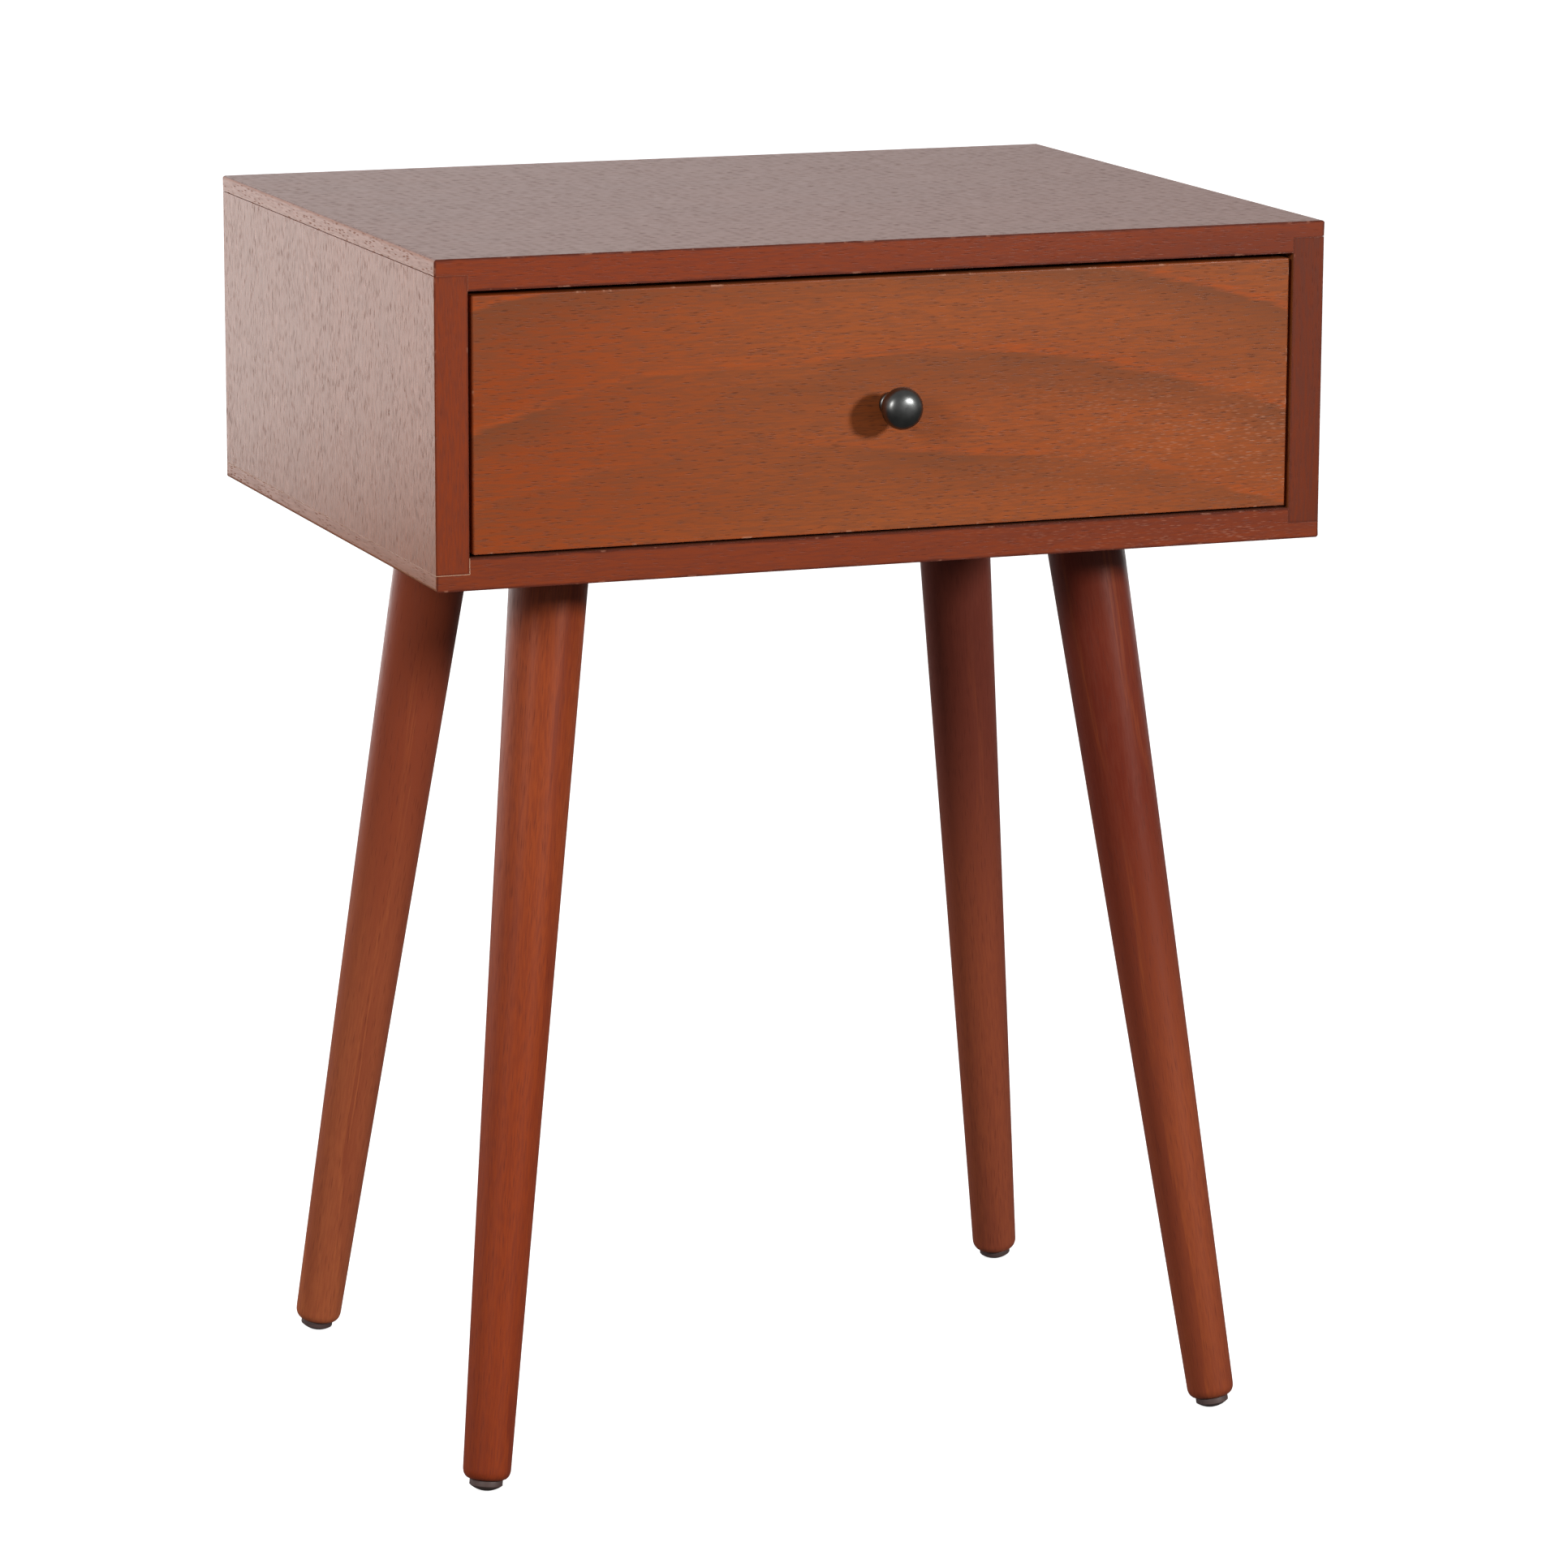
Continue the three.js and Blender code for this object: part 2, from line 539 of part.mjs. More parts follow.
function drawerSide() {
  const board = box([DRAWER_SIDE_IN, DRAWER_SIDE_OUT], [BOX_FRONT, BOX_BACK], [DRAWER_LOW, DRAWER_HIGH]);
  const groove = box([DRAWER_SIDE_IN - PAST, GROOVE_X], [BOX_FRONT - PAST, BOX_BACK + PAST], GROOVE_Z);
  const holes = SLIDE_SCREW_Y.map(([, y]) =>
    rod(holeFor(DRAWER_RAIL_SCREW.radius), [DRAWER_LOW - PAST, DRAWER_LOW + DRAWER_RAIL_SCREW.long])
      .translate(WALL - DRAWER_SCREW_FROM_WALL, y, 0));
  return cut(board, groove, ...holes);
}

// The drawer back stands on the bottom, between the sides.
function drawerBack() {
  const reach = DRAWER_SIDE_IN - FIT;
  return box([-reach, reach], [BOX_BACK - DRAWER_WALL, BOX_BACK], [BOTTOM_HIGH + FIT, DRAWER_HIGH]);
}

function drawerBottom() {
  const reach = GROOVE_X - FIT;
  const y = [DRAWER_FRONT_BACK - GROOVE_DEEP + FIT, BOX_BACK];
  return box([-reach, reach], y, [BOTTOM_LOW, BOTTOM_HIGH]);
}

// The knob along Z with its base at 0: a flat base, a waisted neck and a full, rounded head.
function knob() {
  const headMiddle = KNOB_LENGTH - KNOB_HEAD_HALF;
  const profile = [
    [0, 0],
    [KNOB_BASE_RADIUS - KNOB_BASE_EDGE, 0],
    [KNOB_BASE_RADIUS, KNOB_BASE_EDGE],
    [KNOB_BASE_RADIUS, KNOB_BASE_THICK - KNOB_BASE_EDGE],
    [KNOB_BASE_RADIUS - KNOB_BASE_EDGE, KNOB_BASE_THICK],
    [KNOB_NECK_RADIUS + KNOB_BASE_EDGE, KNOB_BASE_THICK * 1.5],
    [KNOB_NECK_RADIUS, headMiddle * 0.38],
    [KNOB_NECK_RADIUS + KNOB_BASE_EDGE / 2, headMiddle / 2],
  ];
  const steps = 8;
  for (let step = 0; step < steps; step += 1) {
    const turn = THREE.MathUtils.degToRad(THREE.MathUtils.lerp(KNOB_NECK_TURN, 90, step / steps));
    profile.push([KNOB_HEAD_RADIUS * Math.cos(turn), headMiddle + KNOB_HEAD_HALF * Math.sin(turn)]);
  }
  profile.push([0, KNOB_LENGTH]);
  const threadBore = rod(holeFor(KNOB_SCREW.radius), [-PAST, KNOB_BORE_DEEP]);
  return cut(turned(profile, KNOB_SIDES), threadBore);
}

// ---------------------------------------------------------------- assembly

function caseGroup() {
  const group = new THREE.Group();
  group.add(piece('top_panel', topPanel(), CASE_VENEER));
  group.add(piece('bottom_panel', bottomPanel(), CASE_VENEER));
  group.add(piece('back_panel', backPanel(), BACK_BOARD));
  return group;
}

function drawerGroup() {
  const group = new THREE.Group();
  group.add(piece('drawer_front', drawerFront(), DRAWER_VENEER));
  group.add(piece('drawer_back', drawerBack(), BOX_WOOD));
  group.add(piece('drawer_bottom', drawerBottom(), BOX_WOOD));
  const drawerKnob = piece('drawer_knob', knob(), GUNMETAL);
  drawerKnob.rotation.x = Math.PI / 2;
  drawerKnob.position.set(0, DRAWER_FRONT_Y - FIT, KNOB_Z);
  group.add(drawerKnob);
  const knobScrew = piece('knob_screw', fastener(KNOB_SCREW), ZINC);
  knobScrew.rotation.x = Math.PI / 2;
  knobScrew.position.set(0, DRAWER_FRONT_BACK + FIT, KNOB_Z);
  group.add(knobScrew);
  return group;
}

// Everything that the case and the drawer have once on each side. The left is the right's mirror.
function sideGroup(name, mirror) {
  const group = new THREE.Group();
  group.scale.x = mirror;
  group.add(piece(`side_panel_${name}`, sidePanel(), CASE_VENEER));
  group.add(piece(`drawer_side_${name}`, drawerSide(), BOX_WOOD));
  group.add(piece(`case_rail_${name}`, caseRail(), SLIDE_ENAMEL));
  group.add(piece(`drawer_rail_${name}`, drawerRail(), SLIDE_ENAMEL));
  const caseRoller = roller(CASE_ROLLER_RADIUS, CASE_ROLLER_Y, CASE_ROLLER_Z);
  group.add(piece(`case_roller_${name}`, caseRoller, NYLON));
  const drawerRoller = roller(DRAWER_ROLLER_RADIUS, DRAWER_ROLLER_Y, DRAWER_ROLLER_Z);
  group.add(piece(`drawer_roller_${name}`, drawerRoller, NYLON));
  for (const [place, y] of SLIDE_SCREW_Y) {
    const caseScrew = piece(`case_rail_screw_${name}_${place}`, fastener(CASE_RAIL_SCREW), ZINC);
    caseScrew.rotation.y = Math.PI / 2;
    caseScrew.position.set(WALL - 2 * FIT - SHEET, y, DRAWER_ROLLER_Z);
    const drawerScrew = piece(`drawer_rail_screw_${name}_${place}`, fastener(DRAWER_RAIL_SCREW), ZINC);
    drawerScrew.position.set(WALL - DRAWER_SCREW_FROM_WALL, y, RAIL_FOOT_LOW - FIT);
    group.add(caseScrew, drawerScrew);
  }
  for (const [place, z] of PIN_Z) {
    const pin = piece(`back_pin_${name}_${place}`, fastener(BACK_PIN), ZINC);
    pin.rotation.x = Math.PI / 2;
    pin.position.set(PIN_X, CASE_BACK - BACK_RABBET_DEEP + BACK_THICK + 2 * FIT, z);
    group.add(pin);
  }
  return group;
}

// One corner's leg, glide, bolt, plate and screws, placed at +X +Y and mirrored to its own corner.
function cornerGroup(name, mirrorX, mirrorY) {
  const group = new THREE.Group();
  group.scale.set(mirrorX, mirrorY, 1);
  const leaning = new THREE.Group();
  leaning.rotation.y = -SPLAY;
  leaning.add(piece(`leg_${name}`, leg(), LEG_WOOD));
  leaning.add(piece(`foot_glide_${name}`, footGlide(), GLIDE_PLASTIC));
  leaning.add(piece(`hanger_bolt_${name}`, hangerBolt(), ZINC));
  const foot = new THREE.Group();
  foot.position.set(FOOT_X, FOOT_Y, 0);
  foot.rotation.z = SPLAY_AZIMUTH;
  foot.add(leaning);
  const plate = piece(`leg_plate_${name}`, legPlate(), ZINC);
  plate.position.set(LEG_TOP_X, LEG_TOP_Y, 0);
  plate.rotation.z = SPLAY_AZIMUTH;
  group.add(foot, plate);
  plateScrewPlaces().forEach(([x, y], index) => {
    const plateScrew = piece(`leg_plate_screw_${name}_${index + 1}`, fastener(PLATE_SCREW), ZINC);
    plateScrew.position.set(x, y, PLATE_LOW - FIT);
    group.add(plateScrew);
  });
  return group;
}

const table = new THREE.Group();
table.add(caseGroup(), drawerGroup(), sideGroup('left', -1), sideGroup('right', 1));
for (const [name, mirrorX, mirrorY] of CORNERS) {
  table.add(cornerGroup(name, mirrorX, mirrorY));
}
// The case is centred on Y = 0 so far. Half of what the knob stands proud centres the outer box.
table.position.y = (KNOB_LENGTH + FIT - DRAWER_RECESS) / 2;

export default table;
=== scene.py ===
"""The looks of the side table with drawer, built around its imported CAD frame.

Metres, +Z up, the drawer opens towards -Y. Every place comes from the frame or from the sizes named here.
"""

import json
import math

import bmesh
import bpy
from mathutils import Matrix, Vector, noise

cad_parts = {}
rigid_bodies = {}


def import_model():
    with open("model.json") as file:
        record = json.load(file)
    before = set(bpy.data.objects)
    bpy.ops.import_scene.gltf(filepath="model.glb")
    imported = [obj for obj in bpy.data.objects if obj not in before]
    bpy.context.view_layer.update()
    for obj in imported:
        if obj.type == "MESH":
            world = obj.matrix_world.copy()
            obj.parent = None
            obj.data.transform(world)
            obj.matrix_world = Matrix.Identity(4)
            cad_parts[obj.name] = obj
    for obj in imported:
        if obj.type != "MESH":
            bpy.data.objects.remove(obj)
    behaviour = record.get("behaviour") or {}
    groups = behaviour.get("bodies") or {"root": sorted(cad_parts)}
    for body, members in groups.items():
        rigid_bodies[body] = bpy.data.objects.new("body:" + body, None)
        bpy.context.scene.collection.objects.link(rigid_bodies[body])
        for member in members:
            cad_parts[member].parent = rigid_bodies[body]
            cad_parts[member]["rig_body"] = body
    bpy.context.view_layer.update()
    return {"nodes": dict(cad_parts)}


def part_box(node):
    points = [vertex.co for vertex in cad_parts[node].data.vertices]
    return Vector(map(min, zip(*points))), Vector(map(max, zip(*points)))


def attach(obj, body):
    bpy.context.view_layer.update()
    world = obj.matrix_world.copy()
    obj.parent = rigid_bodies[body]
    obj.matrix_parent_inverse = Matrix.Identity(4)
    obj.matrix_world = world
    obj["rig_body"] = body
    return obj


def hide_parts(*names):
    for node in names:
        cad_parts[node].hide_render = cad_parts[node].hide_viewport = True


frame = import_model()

MM = 0.001

# ---- camera and studio

CAMERA_PLACE = (-1.2185, -3.2184, 1.0830)
CAMERA_AZIMUTH = -20.91  # degrees, seen from the left of the drawer's own direction
CAMERA_PITCH = 12.14  # degrees, looking down
CAMERA_ROLL = 0.22
CAMERA_LENS = 144.66
CAMERA_SENSOR = 36.0
CAMERA_CLIP = (0.1, 100.0)

KEY_DIRECTION = (0.460, -0.840, 0.290)  # from the table to the light
KEY_DISTANCE = 4.0
KEY_WIDTH = 0.5
KEY_WATTS = 93.0
FILL_DIRECTION = (-0.730, -0.591, 0.342)
FILL_DISTANCE = 4.0
FILL_WIDTH = 0.9
FILL_WATTS = 47.0
LIGHT_AIM_HEIGHT = 0.5

BACKDROP_DIRECTION = (-0.45, 0.89, 0.0)  # where the surroundings are brightest, behind and to the left
BACKDROP_DIM = 0.3  # their brightness away from there
BACKDROP_BRIGHT = 1.65
BACKDROP_TURN = (0.2, 1.0)  # how far a direction points that way where the one becomes the other

FLOOR_HALF = 20.0
FLOOR_SHADE = 0.86
FLOOR_NOISE = 3.0
FLOOR_LEVELS = (0.3, 0.7)
FLOOR_MOTTLE = 0.01
FLOOR_LIFT = 0.75  # own light of the floor, as the camera sees it
FLOOR_GLOW_FRONT = 0.08  # its brightness as the table sees it, in front and far behind
FLOOR_GLOW_REAR = 2.4
FLOOR_GLOW_REACH = (2.25, 3.3)  # along Y, where the one becomes the other

# ---- sizes of the detail

WELD = 0.001 * MM
AXIS_RADIUS = 0.001 * MM  # points nearer to the axis than this lie on it
FLAT_ANGLE = math.radians(1)
SMOOTH_ANGLE = math.radians(38)
SHARP_ANGLE = math.radians(40)
ARRIS_STEPS = 3
FLAT_WEIGHT = 100  # all of the normal goes to the largest face
SHORT_EDGE = 3.5 * MM  # rims of small holes stay as they are
ON_FACE = 0.05 * MM
LOOKS_THAT_WAY = 0.6  # part of a face's normal along an axis, for the face to count as looking along it

CASE_ARRIS = 0.7 * MM
JOINT_ARRIS_SHARE = 0.15
DRAWER_ARRIS = 0.8 * MM
BOX_ARRIS = 0.9 * MM
BACK_ARRIS = 0.4 * MM

CORNERS = {
    "front_left": (-1, -1),
    "front_right": (1, -1),
    "rear_left": (-1, 1),
    "rear_right": (1, 1),
}
SIDES = {"left": -1, "right": 1}

LEG_TOP_PLACE = (154 * MM, 95 * MM)  # where the leg's axis meets the case, from the case's middle
LEG_FOOT_PLACE = (214.5 * MM, 158 * MM)  # and where it meets the floor
LEG_RADIUS_TOP = 21.5 * MM
LEG_RADIUS_FLOOR = 12.8 * MM
LEG_TOP_DROP = 7 * MM
LEG_TOP_CHAMFER = 1 * MM
LEG_FOOT_RISE = 6.3 * MM
LEG_FOOT_INWARD = 3.8 * MM
LEG_FOOT_UPWARD = 5.5 * MM
LEG_SIDES = 72
FOOT_STEPS = 7

GLIDE_RADIUS = 9 * MM
GLIDE_DOME = 14 * MM
GLIDE_FLAT = 0.5 * MM
GLIDE_TOP = 6 * MM
GLIDE_RIM = 0.5 * MM
DOME_STEPS = 12
RIM_STEPS = 3
NAIL_RADIUS = 1.4 * MM
NAIL_LONG = 16 * MM
NAIL_TIP = 3 * MM
HOLE_PLAY = 0.3 * MM

BOLT_RADIUS = 3.9 * MM
BOLT_IN_LEG = 38 * MM
BOLT_PAST_LEG = 17 * MM
BOLT_TIP = 6 * MM
BOLT_PITCH = 1.8 * MM
BOLT_THREAD = 0.5 * MM

PLATE_RADIUS = 33 * MM
PLATE_THICK = 2 * MM
PLATE_GAP = 0.3 * MM
PLATE_EDGE = 0.5 * MM
PLATE_STEP = 0.35 * MM  # pressed ring on the underside
PLATE_STEP_RADIUS = 22 * MM
BOSS_RADIUS = 17 * MM
BOSS_FILLET = 2 * MM
BOSS_FILLET_STEPS = ((0.0, 0.6), (0.4, 0.12))  # shares of the fillet, outwards and down
BOSS_EDGE = 0.8 * MM
PLATE_SIDES = 64

KNOB_LENGTH = 25 * MM
KNOB_BASE_RADIUS = 6.6 * MM
KNOB_BASE_THICK = 3.4 * MM
KNOB_BASE_EDGE = 1.4 * MM
KNOB_NECK_RADIUS = 4.2 * MM
KNOB_HEAD_RADIUS = 11.2 * MM
KNOB_HEAD_HALF = 8 * MM
KNOB_NECK_TURN = -58  # degrees round the head from its widest ring to the neck
KNOB_NECK_SHARE = 0.42  # how far up to the head's middle the straight neck goes
KNOB_NECK_SWELL = 0.35 * MM
KNOB_NECK_LIFT = 0.2 * MM
KNOB_FLARE_WIDE = 0.9 * MM  # of the neck, where it meets the base
KNOB_FLARE_HIGH = 1.1 * MM
KNOB_FLARE_RISE = 1.4 * MM
KNOB_FLARE_TURN = (-125, -180)
KNOB_EDGE_STEPS = 4
KNOB_SIDES = 96
KNOB_STEPS = 24
KNOB_FLATNESS = 0.82  # below 1 the front of the head is flatter than a ball's
KNOB_BORE_RADIUS = 2.3 * MM
KNOB_BORE_DEEP = 11 * MM

SHEET = 1.2 * MM  # steel sheet of the slides
BEND_RADIUS = 1.3 * MM  # of the sheet's middle, at each bend
BEND_STEPS = 4
SHEET_ARRIS = 0.25 * MM
SHEET_ARRIS_STEPS = 2
SLOT_HEIGHTS = (0.38, 0.62)  # of the slots' edges, as shares of the web's height
SLOT_HALF = 11 * MM  # half the length of the slots in the rails' webs
CASE_SLOTS = (-0.050, 0.010, 0.070)  # places of their middles, along Y
AXLE_RADIUS = 2.5 * MM
RIVET_RADIUS = 4 * MM
RIVET_HIGH = 0.8 * MM
RIVET_STEPS = 5
AXLE_CHAMFER = 0.4 * MM
ROLLER_ROOM = 3 * MM  # from the rear roller to where the drawer rail's runner ends
ROLLER_WIDE = 6 * MM
ROLLER_BORE = 3 * MM
ROLLER_EDGE = 0.8 * MM
ROLLER_HUB = 4.6 * MM
ROLLER_RIM = 2.2 * MM
ROLLER_DISH = 1.5 * MM
ROLLER_RIBS = 6
ROLLER_RIB_INSET = 0.3 * MM
ROLLER_SIDES = 72
ROLLER_RADIUS = {"case": 10.8 * MM, "drawer": 12 * MM}

SCREW_SIDES = 32
HEAD_RIM = 0.45  # the part of a head's height under its dome
HEAD_STEPS = 6
CROSS_ARM = 0.62  # share of the head's radius
CROSS_WIDE = 0.2
CROSS_DEEP = 0.9 * MM
CROSS_DEEPEST = 0.8  # share of the head's height
CROSS_START = 1.5  # where the cutter starts above the head, in the same shares
CROSS_TAPER = (1.35, 0.55)  # its width there and at the bottom
FASTENERS = {  # in millimetres
    "back_pin": {"head": 2.8, "high": 0.5, "shank": 1.0, "long": 18, "tip": 2},
    "case_rail_screw": {"head": 3.6, "high": 1.2, "shank": 1.7, "long": 14, "tip": 3},
    "drawer_rail_screw": {"head": 3.6, "high": 1.2, "shank": 1.7, "long": 9, "tip": 3},
    "leg_plate_screw": {"head": 3.8, "high": 2.2, "shank": 2.0, "long": 14, "tip": 4},
    "knob_screw": {"head": 4.6, "high": 2.4, "shank": 1.9, "long": 26.6, "tip": 0.8},
}

GLUE_STEPS = 120  # along each glue line
GLUE_RECESS = 0.12 * MM
GLUE_RECESS_FRONT = 0.02 * MM
GLUE_RECESS_TOP = 1.2 * MM  # the upper joints are open at the sides
GLUE_ROUGH = 0.1 * MM
GLUE_NOISE = 260.0

# ---- colours, in sRGB

DRAWER_WOOD = {
    "base": (166, 87, 43), "warm": (182, 82, 30), "grey": (124, 70, 41),
    "pore": (84, 42, 24), "fleck": (196, 140, 112), "arris": (120, 52, 28),
}
SIDE_WOOD = {
    "base": (158, 86, 43), "warm": (168, 88, 41), "grey": (130, 76, 46),
    "pore": (70, 34, 24), "arris": (150, 84, 64),
}
TOP_WOOD = {
    "base": (130, 72, 50), "warm": (138, 74, 46), "grey": (112, 68, 52),
    "pore": (66, 36, 28), "arris": (104, 56, 42),
}
BAND_WOOD = {
    "base": (142, 62, 32), "warm": (154, 62, 26), "grey": (112, 50, 32),
    "pore": (78, 34, 22), "fleck": (180, 120, 96), "arris": (84, 34, 22),
}
STILE_WOOD = {
    "left": BAND_WOOD,
    "right": {**BAND_WOOD, "base": (120, 53, 30), "warm": (130, 54, 26), "grey": (94, 44, 30)},
}
LEG_PORE = {"pore": (96, 38, 24)}
# Each leg's tones, set apart to match how bright that leg looks: partly the wood's own tone, partly painted
# light and shade, the rear left leg lighter than the rest
LEG_TONE_AND_PAINTED_LIGHT = {
    "front_left": {**LEG_PORE, "base": (151, 63, 36), "warm": (164, 70, 33), "grey": (122, 47, 30)},
    "front_right": {**LEG_PORE, "base": (160, 78, 46), "warm": (170, 84, 44), "grey": (130, 58, 38)},
    "rear_left": {**LEG_PORE, "base": (182, 98, 62), "warm": (190, 104, 62), "grey": (150, 72, 48)},
    "rear_right": {**LEG_PORE, "base": (150, 76, 54), "warm": (162, 82, 52), "grey": (130, 62, 46)},
}
# Tones near each leg's top: painted shade from the case above on the front right and both rear legs, and
# painted light on the front left leg
LEG_UPPER_PAINTED_LIGHT_AND_SHADE = {
    "front_left": (168, 76, 38),
    "front_right": (118, 44, 28),
    "rear_left": (154, 72, 46),
    "rear_right": (116, 54, 41),
}
LEG_PAINTED_LIGHT_AND_SHADE_REACH = (0.16, 0.38)  # along the leg, from the foot, where the painted light and shade near the case take over
BOX_WOOD = {
    "base": (222, 188, 142), "warm": (230, 184, 126), "grey": (200, 168, 128),
    "pore": (160, 122, 84), "arris": (206, 170, 124),
}
BACK_WOOD = {
    "base": (112, 66, 46), "warm": (124, 72, 46), "grey": (92, 56, 42),
    "pore": (58, 32, 22), "arris": (80, 46, 32),
}
GLUE_PALE = {**SIDE_WOOD, "base": (222, 182, 152), "grey": (186, 142, 114), "warm": (224, 178, 142)}
GLUE_FAINT = {**BAND_WOOD, "base": (158, 84, 56), "warm": (164, 86, 54)}
# Darker and redder towards the drawer front's left end: partly the veneer's own tone, partly painted shade
# where the key light from the right falls less
DRAWER_LEFT_TONE_AND_SHADE = (160, 72, 29)

# a metal's or a plastic's tone, and the tone of its clouds
ZINC_TONES = ((176, 178, 180), (196, 194, 186))
GUNMETAL_TONES = ((104, 105, 104), (124, 124, 122))
ENAMEL_TONES = ((226, 224, 216), (216, 213, 204))
NYLON_TONES = ((236, 233, 222), (224, 220, 206))
GLIDE_TONES = ((78, 60, 58), (92, 72, 68))

SRGB_KNEE = 0.04045
SRGB_SLOPE = 12.92
SRGB_OFFSET = 0.055
SRGB_POWER = 2.4
WHITE = (1.0, 1.0, 1.0, 1.0)


def linear(colour):
    """A colour in sRGB, 0 to 255, as the linear colour with alpha that sockets take."""
    levels = []
    for share in (part / 255 for part in colour):
        curved = ((share + SRGB_OFFSET) / (1 + SRGB_OFFSET)) ** SRGB_POWER
        levels.append(share / SRGB_SLOPE if share <= SRGB_KNEE else curved)
    return (*levels, 1.0)


# ---- material helpers

MIX_COLOURS = (6, 7)  # the mix node's sockets when it mixes colours
MIX_RESULT = 2


class Recipe:
    """The node tree of a material or world. The methods add nodes and return their result's socket."""

    def __init__(self, owner):
        owner.use_nodes = True
        self.owner = owner
        self.tree = owner.node_tree
        self.tree.nodes.clear()

    def node(self, kind, values, **settings):
        made = self.tree.nodes.new(f"ShaderNode{kind}")
        for key, value in settings.items():
            setattr(made, key, value)
        for key, value in values.items():
            if isinstance(value, bpy.types.NodeSocket):
                self.tree.links.new(value, made.inputs[key])
            else:
                made.inputs[key].default_value = value
        return made

    def math(self, operation, first, second=0.0, third=0.0):
        values = {0: first, 1: second, 2: third}
        return self.node("Math", values, operation=operation).outputs[0]

    def object_place(self):
        return self.node("TexCoord", {}).outputs["Object"]

    def seen_by_camera(self):
        return self.node("LightPath", {}).outputs["Is Camera Ray"]

    def split(self, vector):
        return self.node("SeparateXYZ", {0: vector}).outputs

    def joined(self, x, y, z):
        return self.node("CombineXYZ", {0: x, 1: y, 2: z}).outputs[0]

    def scaled(self, vector, along, across):
        """Coordinates whose first axis is scaled by one number and the others by another."""
        values = {0: vector, 1: (along, across, across)}
        return self.node("VectorMath", values, operation="MULTIPLY").outputs[0]

    def moved(self, vector, offset):
        values = {0: vector, 1: offset}
        return self.node("VectorMath", values, operation="ADD").outputs[0]

    def noise(self, vector, detail=2.0, scale=1.0):
        values = {"Vector": vector, "Scale": scale, "Detail": detail}
        return self.node("TexNoise", values).outputs["Fac"]

    def cells(self, vector):
        """Distance to the nearest scattered point, and that point's own random number."""
        made = self.node("TexVoronoi", {"Vector": vector, "Scale": 1.0})
        return made.outputs["Distance"], self.split(made.outputs["Color"])[0]

    def ranged(self, value, low, high, to_low=0.0, to_high=1.0):
        """The value's way from low to high as a smooth step from to_low to to_high."""
        values = {"Value": value, "From Min": low, "From Max": high, "To Min": to_low, "To Max": to_high}
        return self.node("MapRange", values, interpolation_type="SMOOTHSTEP").outputs[0]

    def ramp(self, value, stops):
        """Grey levels at places from 0 to 1, joined by straight lines."""
        made = self.node("ValToRGB", {"Fac": value})
        elements = made.color_ramp.elements
        while len(elements) < len(stops):
            elements.new(1.0)
        for element, (place, level) in zip(elements, stops):
            element.position = place
            element.color = (level, level, level, 1.0)
        return made.outputs["Color"]

    def mix(self, share, first, second):
        """A colour between two, each a socket or a colour in sRGB."""
        values = {0: share}
        for key, colour in zip(MIX_COLOURS, (first, second)):
            values[key] = linear(colour) if isinstance(colour, tuple) else colour
        return self.node("Mix", values, data_type="RGBA").outputs[MIX_RESULT]

    def bump(self, height, distance, strength):
        values = {"Height": height, "Distance": distance, "Strength": strength}
        return self.node("Bump", values).outputs["Normal"]

    def finish(self, values):
        """Ends the tree in a Principled shader with these values."""
        shader = self.node("BsdfPrincipled", values)
        self.node("OutputMaterial", {"Surface": shader.outputs[0]})
        return self.owner


def material_recipe(name):
    return Recipe(bpy.data.materials.new(name))


def edge_distance(recipe, low, high):
    """How far a point on a box's surface is from the nearest edge of that box."""
    gaps = []
    for value, start, end in zip(recipe.split(recipe.object_place()), low, high):
        offset = recipe.math("ABSOLUTE", recipe.math("SUBTRACT", value, (start + end) / 2))
        gaps.append(recipe.math("SUBTRACT", (end - start) / 2, offset))
    smaller = recipe.math("MINIMUM", gaps[0], gaps[1])
    larger = recipe.math("MAXIMUM", gaps[0], gaps[1])
    return recipe.math("MAXIMUM", smaller, recipe.math("MINIMUM", larger, gaps[2]))


# ---- wood

GRAIN_ORDER = {"X": (0, 2, 1), "Y": (1, 0, 2), "Z": (2, 1, 0)}  # along the grain, across it, into it
STREAK = (2.4, 42.0)  # coarseness along and across the grain, per metre
FIBRE = (90.0, 950.0)
PATCH = (1.7, 5.0)
PORE = (150.0, 1150.0)
PORE_SHIFT = 17.0
PORE_CROWD = (9.0, 60.0)  # where pores stand closer
FLECK_PATCH = (5.0, 16.0)
RING_WARP = (3.5, 9.0)
RING_WARP_REACH = 0.05
RING_PATCH = (7.0, 22.0)
RING_FEATHER = (11.0, 520.0)
ARRIS_NOISE = 60.0
SCUFF_NOISE = 140.0

# between which levels of its noise each mark comes up
STREAK_LEVELS = (0.32, 0.7)
PATCH_LEVELS = (0.42, 0.68)
FIBRE_LEVELS = (0.36, 0.66)
RING_LEVELS = (0.34, 0.6)
FLECK_LEVELS = (0.45, 0.62)
SCUFF_LEVELS = (0.6, 0.7)
PORE_CHANCE = (0.85, 1.15)
PORE_EDGE = (0.12, 0.45)  # from a pore's middle to its edge
ARRIS_EDGE = (0.3, 1.0)  # shares of an arris's width over which it fades
SCUFF_EDGE = (0.4 * MM, 1.4 * MM)
SHINE_LEVELS = (0.25, 0.8)
SHINE_REACH = (-0.04, 0.06)  # what the fibres take off the roughness and add to it

SEED_STEP = (1.37, 0.71, 0.53)  # metres that one step of the seed moves the pattern
FLECK_SHIFT = (0.313, 0.127, 0.211)
FLECK_LENGTH = 0.8
FIBRE_RELIEF = 0.35
RING_SHADE = ((0.0, 0.0), (0.42, 0.0), (0.9, 1.0), (0.95, 0.1), (1.0, 0.0))  # levels across one ring
RING_LINE = ((0.0, 0.35), (0.12, 0.0), (0.9, 0.0), (0.96, 1.0), (1.0, 0.5))

